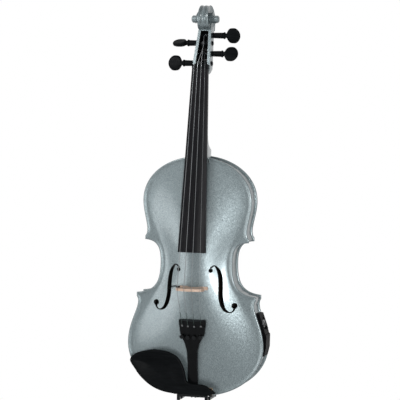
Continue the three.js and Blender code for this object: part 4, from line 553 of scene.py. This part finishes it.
def edge_rings(loop, radius):
    """Rings from the outline in to its flat face, and how far each stands back from that face's edge."""
    normals = ring_normals(loop)
    rings, depths = [], []
    for i in range(EDGE_STEPS + 1):
        angle = math.pi / 2 * (1 - i / EDGE_STEPS)
        rings.append(loop - normals * (radius * (1 - math.sin(angle))))
        depths.append(radius * (1 - math.cos(angle)))
    return rings, depths


def face_spots(loop, rim, radius, step, insets, holes):
    """Groups of points that fill an outline: its rim, rings inside it, an even grid, and the holes."""
    normals = ring_normals(loop)
    spots = [rim]
    for inset in insets:
        ring = loop - normals * (radius + inset)
        spots.append(ring[distance_to(rim, ring) > inset - step * RING_SLACK_SHARE])
    low, high = loop.min(axis=0), loop.max(axis=0)
    rows = np.arange(low[1], high[1], step * ROW_SHARE)
    grid = np.array([(x + (step / 2 if k % 2 else 0), z) for k, z in enumerate(rows)
                     for x in np.arange(low[0], high[0], step)])
    deep = inside(rim, grid) & (distance_to(rim, grid) > insets[-1] + step * RIM_CLEAR_SHARE)
    for hole in holes:
        deep &= distance_to(hole, grid) > step * HOLE_CLEAR_SHARE
    return [*spots, grid[deep], *holes]


def loop_edges(start, count):
    """The legs of a closed outline whose points are numbered from start."""
    return [(start + i, start + (i + 1) % count) for i in range(count)]


def filled(spots, count, holes):
    """Places and faces that fill groups of points, and each rim place's number on the outline."""
    edges = loop_edges(0, count)
    start = sum(len(group) for group in spots[:len(spots) - len(holes)])
    for hole in holes:
        edges += loop_edges(start, len(hole))
        start += len(hole)
    flat = [Vector(spot) for spot in np.concatenate(spots).tolist()]
    result = delaunay_2d_cdt(flat, edges, [], 1, MERGE)
    places = np.array([tuple(place) for place in result[0]])
    faces = np.array(result[2])
    middle = places[faces].mean(axis=1)
    for hole in holes:
        outside = ~inside(hole, middle)
        faces, middle = faces[outside], middle[outside]
    a, b, c = (places[faces[:, k]] for k in range(3))
    turn = (b[:, 0] - a[:, 0]) * (c[:, 1] - a[:, 1]) - (b[:, 1] - a[:, 1]) * (c[:, 0] - a[:, 0])
    faces[turn < 0] = faces[turn < 0][:, ::-1]
    on_rim = {k: index for k, origins in enumerate(result[3]) for index in origins if index < count}
    return places, faces, on_rim


def open_edges(faces):
    """Edges that only one face uses, as that face runs along them."""
    used = dict.fromkeys((u, v) for face in faces for u, v in zip(face, face[1:] + face[:1]))
    return [(u, v) for u, v in used if (v, u) not in used]


def edge_points(rings, depths, front, back, first):
    """The rounded edge's places before and behind, and the number of the first on each ring."""
    rim = rings[-1]
    points, starts = [], {}
    for layer, surface, sign in ((0, front, 1), (1, back, -1)):
        base = surface(rim[:, 0], rim[:, 1])
        for i in range(EDGE_STEPS):
            starts[layer, i] = first + len(points)
            points += [(x, y, z) for (x, z), y in zip(rings[i], base + sign * depths[i])]
    return points, starts


def edge_faces(count, place, skip):
    """The rounded edge: bands before and behind, and the flat band between them."""
    faces = []
    for k in range(count):
        if skip(k):
            continue
        for i in range(EDGE_STEPS):
            faces.append((place(0, i, k), place(0, i, k + 1), place(0, i + 1, k + 1), place(0, i + 1, k)))
            faces.append((place(1, i, k + 1), place(1, i, k), place(1, i + 1, k), place(1, i + 1, k + 1)))
        faces.append((place(0, 0, k + 1), place(0, 0, k), place(1, 0, k), place(1, 0, k + 1)))
    return faces


def sheet(loop, front, back, radius, step, insets, holes=(), notches=(), lip=0):
    """Points and faces of a sheet: loop, holes and notches as (x, z), front and back as y at (x, z).

    The faces come in three lists: outer face, edge and lip, walls of the holes, inner face."""
    count = len(loop)
    holes = [*holes, *notches]
    rings, depths = edge_rings(loop, radius)
    places, faces, on_rim = filled(face_spots(loop, rings[-1], radius, step, insets, holes), count, holes)
    total = len(places)
    points = []
    for surface in (front, back):
        points += [(x, y, z) for (x, z), y in zip(places, surface(places[:, 0], places[:, 1]))]
    on_edge, starts = edge_points(rings, depths, front, back, len(points))
    near_edge = distance_to(loop, places[faces].mean(axis=1)) < lip
    faces = faces.tolist()
    behind = [tuple(v + total for v in reversed(face)) for face in faces]
    inner = [face for face, near in zip(behind, near_edge) if not near]
    outer = [tuple(face) for face in faces] + [face for face, near in zip(behind, near_edge) if near]
    walls = [(v, u, u + total, v + total) for u, v in open_edges(faces) if not (u in on_rim and v in on_rim)]
    vertex = {index: k for k, index in on_rim.items()}

    def place(layer, i, k):
        k %= count
        return vertex[k] + layer * total if i == EDGE_STEPS else starts[layer, i] + k

    def in_notch(k):
        middle = loop[[k, (k + 1) % count]].mean(axis=0)
        return any(inside(notch, middle[None])[0] for notch in notches)

    return points + on_edge, outer + edge_faces(count, place, in_notch), walls, inner


def sheet_piece(name, parts, looks, stands_for):
    """A sheet as one object, with a look for its outer face, its holes' walls and its inner face."""
    points, *groups = parts
    faces = [face for group in groups for face in group]
    piece = piece_from(name, points, faces, looks[0], "instrument", stands_for)
    for look in looks[1:]:
        piece.data.materials.append(look)
    numbers = [i for i, group in enumerate(groups) for _ in group]
    piece.data.polygons.foreach_set("material_index", numbers)


# Outline of the body

HANDLE_SHARES = {"top_out": 0.51, "shoulder_up": 0.61, "upper_down": 0.41, "waist_in": 0.29,
                 "waist_top": 0.73, "waist_bottom": 0.69, "lower_in": 0.25, "lower_neck": 0.10,
                 "lower_neck_down": 0.17, "lower_up": 0.48, "hip_down": 0.555, "bottom_in": 0.596}
OUTLINE_STEP = 2.2        # millimetres between points of the outline
CURVE_SHARE = 1.06        # a curve's length against the straight line between its ends


def curve(points):
    """A cubic curve, with points about OUTLINE_STEP apart."""
    a, b, c, d = (np.array(p, float) for p in points)
    count = round(np.linalg.norm(d - a) * CURVE_SHARE / OUTLINE_STEP)
    t = np.linspace(0, 1, count + 1)[:, None]
    return (1 - t)**3 * a + 3 * t * (1 - t)**2 * b + 3 * t**2 * (1 - t) * c + t**3 * d


def treble_side():
    """The body's outline from the middle of its top down the treble side to the middle of its bottom."""
    h = HANDLE_SHARES
    tip_x, tip_top, tip_bottom = UPPER_TIP
    low_x, low_top, low_bottom = LOWER_TIP
    points = np.concatenate([
        curve([(0, BODY_LENGTH), (UPPER_HALF * h["top_out"], BODY_LENGTH),
               (UPPER_HALF, mix(UPPER_LINE, BODY_LENGTH, h["shoulder_up"])), (UPPER_HALF, UPPER_LINE)]),
        curve([(UPPER_HALF, UPPER_LINE), (UPPER_HALF, mix(UPPER_LINE, tip_top, h["upper_down"])),
               (tip_x - CORNER_RUN, tip_top + CORNER_RUN), (tip_x, tip_top)]),
        curve([(tip_x, tip_bottom), (mix(WAIST_HALF, tip_x, h["waist_in"]), tip_bottom - CHANNEL_DEPTH),
               (WAIST_HALF, mix(WAIST_LINE, tip_bottom, h["waist_top"])), (WAIST_HALF, WAIST_LINE)]),
        curve([(WAIST_HALF, WAIST_LINE), (WAIST_HALF, mix(WAIST_LINE, low_top, h["waist_bottom"])),
               (mix(WAIST_HALF, low_x, h["lower_in"]), low_top + OVERHANG), (low_x, low_top)]),
        curve([(low_x, low_bottom),
               (low_x * (1 - h["lower_neck"]), mix(low_bottom, LOWER_LINE, h["lower_neck_down"])),
               (LOWER_HALF, mix(LOWER_LINE, low_bottom, h["lower_up"])), (LOWER_HALF, LOWER_LINE)]),
        curve([(LOWER_HALF, LOWER_LINE), (LOWER_HALF, LOWER_LINE * (1 - h["hip_down"])),
               (LOWER_HALF * h["bottom_in"], 0), (0, 0)]),
    ])
    apart = np.r_[True, np.hypot(*np.diff(points, axis=0).T) > GAP]
    return points[apart]


SIDE = treble_side()


def with_break(side, x, top):
    """The outline's side with one more point where it passes x, near the body's top or bottom."""
    half = side[:, 1] > BODY_LENGTH / 2 if top else side[:, 1] < BODY_LENGTH / 2
    k = np.nonzero(half & (side[:, 0] < x))[0]
    k = k[-1] if top else k[0] - 1
    a, b = side[k], side[k + 1]
    spot = a + (b - a) * (x - a[0]) / (b[0] - a[0])
    return np.insert(side, k + 1, spot, axis=0)


def whole(side):
    """A closed outline from its treble side."""
    bass = side[1:-1][::-1] * (-1, 1)
    return np.concatenate([side, bass])


# Arching of the two plates

def arch_half(z):
    """Half the width of the body as its arching sees it: bouts and waist without the corners."""
    upper, lower = SIDE[SIDE[:, 1] >= UPPER_LINE], SIDE[SIDE[:, 1] <= LOWER_LINE]
    high = np.interp(z, upper[::-1, 1], upper[::-1, 0])
    low = np.interp(z, lower[::-1, 1], lower[::-1, 0])
    line = np.where(z > WAIST_LINE, UPPER_LINE, LOWER_LINE)
    half = np.where(z > WAIST_LINE, UPPER_HALF, LOWER_HALF)
    middle = mix(WAIST_HALF, half, smooth(np.abs(z - WAIST_LINE) / np.abs(line - WAIST_LINE)))
    return np.where(z >= UPPER_LINE, high, np.where(z <= LOWER_LINE, low, middle))


def inward(x, z):
    """Distance inwards from the outline, and zero outside it."""
    spots = np.stack([np.abs(x), z], axis=1)
    closed = np.concatenate([SIDE, [[-OVERHANG, 0], [-OVERHANG, BODY_LENGTH]]])
    return np.where(inside(closed, spots), distance_to(SIDE, spots, closed=False), 0)


def arch_height(x, z, apex):
    """How far a plate's outer face stands beyond its edge."""
    middle = BODY_LENGTH / 2
    from_middle = np.minimum(1, np.abs(z - middle) / (middle - CHANNEL_INSET))
    along = (apex + CHANNEL_DEPTH) * (1 - from_middle ** LONG_ARCH_POWER)
    share = np.minimum(1, inward(x, z) / CHANNEL_INSET)
    channel = CHANNEL_DEPTH * (1 - np.cos(math.pi * share)) / 2
    across = np.maximum(0, 1 - np.abs(x) / np.maximum(arch_half(z) - CHANNEL_INSET, CHANNEL_INSET))
    rise = (1 - np.cos(math.pi * across ** CROSS_ARCH_POWER)) / 2
    return np.maximum(0, along) * rise * smooth(share) - channel


def hollow_height(x, z, apex):
    """The same for the inner face: flat where it is glued, hollowed elsewhere."""
    from_ends = np.minimum(z - OVERHANG - RIB_THICKNESS - END_BLOCK,
                           BODY_LENGTH - OVERHANG - RIB_THICKNESS - NECK_BLOCK - z)
    room = np.minimum(inward(x, z) - PLATFORM, from_ends)
    outer = arch_height(x, z, apex) - PLATE_THICKNESS
    return np.maximum(-EDGE_THICKNESS, np.minimum(outer, room / 2 - EDGE_THICKNESS))


# The f-holes, as on the frame's front plate: sideways from the middle, and up from the bridge's line

SLIT_HALF = 3.4
SLIT_LEFT, SLIT_RIGHT = 21.4, 63.6
SLIT_DOWN, SLIT_UP = 35, 34.4
SLIT_SHARES = [           # along the slit: sideways, up, half width
    (0.05, 0.93, 0.4), (0.19, 0.985, 0.28), (0.31, 0.905, 0.68), (0.38, 0.79, 0.9), (0.41, 0.66, 0.98),
    (0.42, 0.53, 1), (0.425, 0.4, 1), (0.445, 0.28, 1), (0.5, 0.15, 0.9), (0.6, 0.045, 0.66),
    (0.755, 0, 0.28), (0.87, 0.03, 0.34), (0.92, 0.1, 0.5),
]
UPPER_EYE = (24.4, 26.2, 3.1)             # sideways, up, radius
LOWER_EYE = (59.8, -25, 4.3)
NICK = 1.7
SLIT_POINTS, EYE_POINTS = 60, 28
NICK_POINT = 25           # the point of the slit's middle line that has the nicks


def spline(points, count):
    """A smooth curve through points, with its parameter even from point to point."""
    points = np.array(points, float)
    ends = np.concatenate([[2 * points[0] - points[1]], points, [2 * points[-1] - points[-2]]])
    spots = []
    for t in np.linspace(0, len(points) - 1, count):
        k = min(int(t), len(points) - 2)
        f = t - k
        a, b, c, d = ends[k:k + 4]
        slope, bend = (c - a) / 2, a - 2.5 * b + 2 * c - d / 2
        spots.append(b + f * slope + f * f * bend + f**3 * (1.5 * (b - c) + (d - a) / 2))
    return np.array(spots)


def hole_loops(side):
    """The closed outlines that together make one f-hole."""
    low, high = BRIDGE_LINE - SLIT_DOWN, BRIDGE_LINE + SLIT_UP
    line = spline([(mix(SLIT_LEFT, SLIT_RIGHT, a), mix(low, high, u), w * SLIT_HALF)
                   for a, u, w in SLIT_SHARES], SLIT_POINTS)
    along = np.gradient(line[:, :2], axis=0)
    along /= np.linalg.norm(along, axis=1)[:, None]
    across = np.stack([along[:, 1], -along[:, 0]], axis=1) * line[:, 2:3]
    slit = np.concatenate([line[:, :2] + across, (line[:, :2] - across)[::-1]])
    turns = np.linspace(0, 2 * math.pi, EYE_POINTS, endpoint=False)
    ring = np.stack([np.cos(turns), np.sin(turns)], axis=1)
    eyes = [ring * radius + (x, BRIDGE_LINE + up) for x, up, radius in (UPPER_EYE, LOWER_EYE)]
    x, z = line[NICK_POINT, :2]
    wing = SLIT_HALF + NICK
    nicks = np.array([(x - wing, z), (x, z + NICK / 2), (x + wing, z), (x, z - NICK / 2)])
    return [loop * (side, 1) for loop in (slit, *eyes, nicks)]


# The two plates

PLATE_STEP = 2.8
RING_INSETS = (1.2, 2.4, 3.6, 4.9, 6.4, 8.2, 10.4)
BUTTON_POINTS = 12


def plate(side, apex, holes=(), notches=()):
    """Points and faces of an arched plate as the top lies, with its outer face to the front."""
    return sheet(whole(side), lambda x, z: -arch_height(x, z, apex), lambda x, z: -hollow_height(x, z, apex),
                 EDGE_ROUND, PLATE_STEP, RING_INSETS, holes, notches, OVERHANG + RIB_THICKNESS)


def end_notch(half, low, high):
    return np.array([(-half, low), (half, low), (half, high), (-half, high)])


def top_plate():
    """The top, notched for the neck's root and the saddle."""
    side = with_break(with_break(SIDE, ROOT_HALF, True), SADDLE_HALF + GAP, False)
    notches = [end_notch(ROOT_HALF, BODY_LENGTH - OVERHANG - TENON - GAP, BODY_LENGTH + OVERHANG),
               end_notch(SADDLE_HALF + GAP, -OVERHANG, SADDLE_DEPTH + GAP)]
    parts = plate(side, FRONT_ARCH, [*hole_loops(1), *hole_loops(-1)], notches)
    sheet_piece("arched_top", parts, PLATE_LOOKS, "top_plate")


def back_plate():
    """The back, with the round button that carries the heel."""
    middle = BODY_LENGTH + HEEL_CLEAR - BUTTON_RADIUS
    start = math.asin((BODY_LENGTH - GAP / 2 - middle) / BUTTON_RADIUS)
    turns = np.linspace(math.pi / 2, start, BUTTON_POINTS)
    button = np.stack([BUTTON_RADIUS * np.cos(turns), middle + BUTTON_RADIUS * np.sin(turns)], axis=1)
    button[0, 0] = 0
    body = SIDE[(SIDE[:, 0] > button[-1, 0] + GAP) | (SIDE[:, 1] < BODY_LENGTH / 2)]
    points, *groups = plate(np.concatenate([button, body]), BACK_ARCH)
    far = RIB_BACK + EDGE_THICKNESS
    turned = [(x, far - y, z) for x, y, z in points]
    groups = [[tuple(reversed(face)) for face in group] for group in groups]
    sheet_piece("arched_back", (turned, *groups), PLATE_LOOKS, "back_plate")


top_plate()
back_plate()

# Chinrest: one smooth shell, a dished cup that runs on into the arm over the tailpiece

CUP_CENTRE = (-50, 38)
CUP_HALF_WIDE, CUP_HALF_TALL = 51, 34
CHINREST_SHARES = [       # round the outline, from the cup's centre: sideways, up
    (-0.875, 0.42), (-0.82, 0.58), (-0.7, 0.72), (-0.535, 0.81), (-0.3, 0.895), (-0.13, 0.92), (0.14, 0.89),
    (0.33, 0.81), (0.53, 0.66), (0.68, 0.36), (0.77, 0), (0.83, -0.38), (0.96, -0.5), (1.18, -0.53),
    (1.38, -0.56), (1.58, -0.73), (1.69, -0.88), (1.46, -0.97), (0.98, -1), (0.45, -0.975), (0.06, -0.87),
    (-0.27, -0.645), (-0.565, -0.28), (-0.74, 0.06), (-0.84, 0.27),
]
SPAN_POINTS = 6           # places on the shell's outline for each of those points
LAP = 3                   # points that a closed curve runs on past both of its ends
CUP_RIM = 19.5
ARM_TOP = 15.5
ARM_TIP = 14
ARM_BACK = 10
CUP_DISH = 6.4
CUP_SLOPE = 24            # how far inside its rim the cup reaches its full depth
CUP_FADE_SHARE = 0.9      # of the cup's half width, over which its dish fades out towards the arm
ARM_DISH_SHARE = 0.15     # of the dish, that is left on the arm
CUP_THICKNESS = 5
CUP_INSETS = (1.2, 2.6, 4.4, 6.6)
SHELL_ROUND = 2.3
SHELL_STEP = 2.2
CLAMP_HALF = 21.3
PAD_HALF = 7
PAD_LOW, PAD_HIGH = 3.4, 13.5
CORK_THICKNESS = 2.2
BOX_FACES = ((0, 1, 3, 2), (4, 6, 7, 5), (0, 4, 5, 1), (2, 3, 7, 6), (0, 2, 6, 4), (1, 5, 7, 3))


def closed_spline(points, per):
    """A smooth closed outline through points, with as many places between each two."""
    count = len(points)
    lapped = [points[i % count] for i in range(-LAP, count + LAP + 1)]
    line = spline(lapped, (count + 2 * LAP) * per + 1)
    return line[LAP * per:(count + LAP) * per]


def shell_front(loop, x, z):
    """How far the chinrest's front stands before the front plate's edge."""
    left, wide = CUP_CENTRE[0], CUP_HALF_WIDE
    rim = mix(CUP_RIM, ARM_TOP, np.clip((x - left) / wide, 0, 1))
    rim = mix(rim, ARM_TIP, smooth((x - CLAMP_HALF) / CLAMP_HALF))
    depth = smooth(distance_to(loop, np.stack([x, z], axis=1)) / CUP_SLOPE)
    cup = 1 - smooth((x - left) / (wide * CUP_FADE_SHARE))
    return rim - CUP_DISH * depth * mix(ARM_DISH_SHARE, 1, cup)


def pad_places(middle):
    """The corners of the block that stands between the shell and one of the corks."""
    return [(x, y, z) for x in (middle - PAD_HALF, middle + PAD_HALF)
            for y in (-ARM_BACK - GAP, -CORK_THICKNESS - 2 * GAP) for z in (PAD_LOW, PAD_HIGH)]


def chinrest():
    """The shell, and its two blocks over the clamp."""
    left, low = CUP_CENTRE
    corners = [(left + a * CUP_HALF_WIDE, low + u * CUP_HALF_TALL) for a, u in CHINREST_SHARES]
    loop = closed_spline(corners, SPAN_POINTS)
    points, *groups = sheet(loop, lambda x, z: -shell_front(loop, x, z),
                            lambda x, z: CUP_THICKNESS - shell_front(loop, x, z),
                            SHELL_ROUND, SHELL_STEP, CUP_INSETS)
    for side in (-1, 1):
        start = len(points)
        points += pad_places(side * CLAMP_HALF)
        groups[0] += [tuple(start + i for i in face) for face in BOX_FACES]
    sheet_piece("shaped_chinrest", (points, *groups), [WAXED] * len(groups), "chinrest")


chinrest()

# Pegs: turned shafts and collars with a flattened thumb piece that is a little hollow on both faces

# Each peg's side, height and distance behind the front plate's edge, and how far out its head ends
PEG_PLACES = {"g": (-1, 492.8, 22.2), "d": (-1, 522.6, 31.8), "a": (1, 534.2, 36.6), "e": (1, 507.2, 26.6)}
PEG_REACH = {"g": 53.3, "d": 49.5, "a": 52.2, "e": 51.8}
PEG_TURNS = {"g": 10, "d": 65, "a": -12, "e": 24}      # degrees
PEG_HEAD_LENGTH = 25.7
PEG_HEAD_HALF = 11.4
PEG_THIN, PEG_THICK = 3.4, 4.1
PEG_PAST = 1.5            # how far the thin end comes through the far cheek
PEG_HEAD_SHARES = [       # along the head: how far, half height, half thickness
    (0, 0.30, 0.84), (0.03, 0.44, 1.2), (0.10, 0.44, 1.2), (0.14, 0.3, 0.8), (0.2, 0.34, 0.84),
    (0.28, 0.68, 0.96), (0.38, 0.92, 0.96), (0.54, 1, 0.9), (0.74, 0.96, 0.8), (0.9, 0.66, 0.7),
    (0.98, 0.3, 0.45), (1, 0.02, 0.03),
]
PEGBOX_HALF, THROAT_HALF = 13.5, 9.4
PEGBOX_LOW, PEGBOX_HIGH = 485.1, 547
PEG_SIDES = 40
SHAFT_RINGS, HEAD_RINGS = 6, 56
POINT_RADIUS = 0.01       # of the rings that close a peg's two ends
THIN_END_SHARE = 0.8      # the thin end's face against the shaft behind it
THUMB_RATE, THUMB_DELAY = 3, 0.6          # how fast and how late the head turns into the thumb piece
HOLLOW_SHARE = 0.26
HOLLOW_POWER = 4


def peg_radius(x):
    return mix(PEG_THIN, PEG_THICK, (x + PEGBOX_HALF) / (2 * PEGBOX_HALF))


def peg_stations(course):
    """Places along a peg as (x, half height, half thickness, how far it is the thumb piece)."""
    height = PEG_PLACES[course][1]
    cheek = mix(PEGBOX_HALF, THROAT_HALF, (height - PEGBOX_LOW) / (PEGBOX_HIGH - PEGBOX_LOW))
    far = -cheek - PEG_PAST
    start = PEG_REACH[course] - PEG_HEAD_LENGTH
    face = PEG_THIN * THIN_END_SHARE
    stations = [(far, POINT_RADIUS, POINT_RADIUS, 0), (far, face, face, 0)]
    for x in np.linspace(far + GAP * 2, start - GAP, SHAFT_RINGS):
        stations.append((x, peg_radius(x), peg_radius(x), 0))
    head = spline([(start + a * PEG_HEAD_LENGTH, w * PEG_HEAD_HALF, t * PEG_THICK)
                   for a, w, t in PEG_HEAD_SHARES], HEAD_RINGS)
    for x, wide, thick in head:
        thumb = smooth((x - start) / PEG_HEAD_LENGTH * THUMB_RATE - THUMB_DELAY)
        stations.append((x, max(wide, POINT_RADIUS), max(thick, POINT_RADIUS), thumb))
    return stations


def peg_points(course):
    """The rings of places round a peg, turned about its line to where it stands at rest."""
    side, height, back = PEG_PLACES[course]
    turn = math.radians(PEG_TURNS[course])
    points = []
    for x, wide, thick, thumb in peg_stations(course):
        for k in range(PEG_SIDES):
            angle = 2 * math.pi * k / PEG_SIDES
            up = wide * math.cos(angle)
            out = thick * (math.sin(angle) * (1 - HOLLOW_SHARE * thumb * math.sin(angle) ** HOLLOW_POWER))
            points.append((side * x, back + out * math.cos(turn) + up * math.sin(turn),
                           height + up * math.cos(turn) - out * math.sin(turn)))
    return points


def turned_peg(course):
    side = PEG_PLACES[course][0]
    points = peg_points(course)
    last = len(points) - PEG_SIDES
    faces = []
    for start in range(0, last, PEG_SIDES):
        for k in range(PEG_SIDES):
            a, b = start + k, start + (k + 1) % PEG_SIDES
            faces.append((a, b, b + PEG_SIDES, a + PEG_SIDES)[::side])
    faces.append(tuple(range(PEG_SIDES))[::-side])
    faces.append(tuple(range(last, last + PEG_SIDES))[::side])
    piece_from(f"{course}_turned_peg", points, faces, WAXED, f"{course}_peg_turning",
               f"{course}_peg")


for course in COURSES:
    turned_peg(course)

# Camera, lights and surroundings

def set_camera():
    """The photograph's camera, from its turn, height and tilt about the point it looks at."""
    azimuth, elevation, roll = (math.radians(a) for a in (VIEW_AZIMUTH, VIEW_ELEVATION, VIEW_ROLL))
    back = Vector((math.sin(azimuth) * math.cos(elevation), -math.cos(azimuth) * math.cos(elevation),
                   math.sin(elevation)))
    right = (-back).cross(Vector((0, 0, 1))).normalized()
    up = right.cross(-back)
    turned_right = right * math.cos(roll) + up * math.sin(roll)
    turned_up = up * math.cos(roll) - right * math.sin(roll)
    camera = bpy.data.objects.new("camera", bpy.data.cameras.new("camera"))
    bpy.context.scene.collection.objects.link(camera)
    camera.data.lens = LENS
    camera.data.sensor_width = SENSOR
    camera.data.clip_end = VIEW_END
    place = world(*VIEW_TARGET) + back * VIEW_DISTANCE * MM
    turned = Matrix((turned_right, turned_up, back)).transposed().to_4x4()
    camera.matrix_world = Matrix.Translation(place) @ turned
    bpy.context.scene.camera = camera


def lamp(name, place, aim, size, power):
    """A soft box: a rectangle of light at a place in metres, aimed at another."""
    data = bpy.data.lights.new(name, "AREA")
    data.shape = "RECTANGLE"
    data.size, data.size_y = size
    data.energy = power
    light = bpy.data.objects.new(name, data)
    bpy.context.scene.collection.objects.link(light)
    light.location = place
    light.rotation_euler = (Vector(aim) - Vector(place)).to_track_quat("-Z", "Y").to_euler()


def set_world():
    """White to the camera and to mirrored and clear rays, and an even grey room to everything else."""
    room = bpy.data.worlds.new("room")
    bpy.context.scene.world = room
    room.use_nodes = True
    tree = Nodes(room.node_tree)
    tree.nodes.clear()
    shade = tree.add("ShaderNodeBackground", {"Color": ROOM_COLOUR, "Strength": ROOM_STRENGTH})
    white = tree.add("ShaderNodeBackground", {"Color": WHITE, "Strength": 1})
    pick = tree.add("ShaderNodeMixShader", {0: tree.white_rays(), 1: shade.outputs[0], 2: white.outputs[0]})
    tree.add("ShaderNodeOutputWorld", {"Surface": pick.outputs[0]})


def floor_look():
    """Pale and faintly speckled, and plain white to the camera and to mirrored and clear rays."""
    s = Shader("pale_floor")
    speckle = s.ramp(s.noise(40, 5), [(0.3, 0.80), (0.7, 0.84)])
    s.finish(Base_Color=speckle, Roughness=0.8)
    glow = s.add("ShaderNodeEmission", {"Color": WHITE, "Strength": 1})
    pick = s.add("ShaderNodeMixShader", {0: s.white_rays(), 1: s.surface.outputs[0], 2: glow.outputs[0]})
    s.feed(pick.outputs[0], s.nodes["Material Output"].inputs["Surface"])
    return s.material


def set_floor():
    """A floor well below the hanging instrument."""
    mesh = bpy.data.meshes.new("floor")
    half = FLOOR_SIZE / 2
    low = cad_box[0][2] - FLOOR_DROP
    mesh.from_pydata([(-half, -half, low), (half, -half, low), (half, half, low), (-half, half, low)], [],
                     [(0, 1, 2, 3)])
    floor = bpy.data.objects.new("floor", mesh)
    bpy.context.scene.collection.objects.link(floor)
    mesh.materials.append(floor_look())


set_camera()
set_world()
set_floor()
for name, (place, aim, size, power) in LAMPS.items():
    lamp(name, place, aim, size, power)
bpy.context.scene.view_settings.view_transform = "Standard"
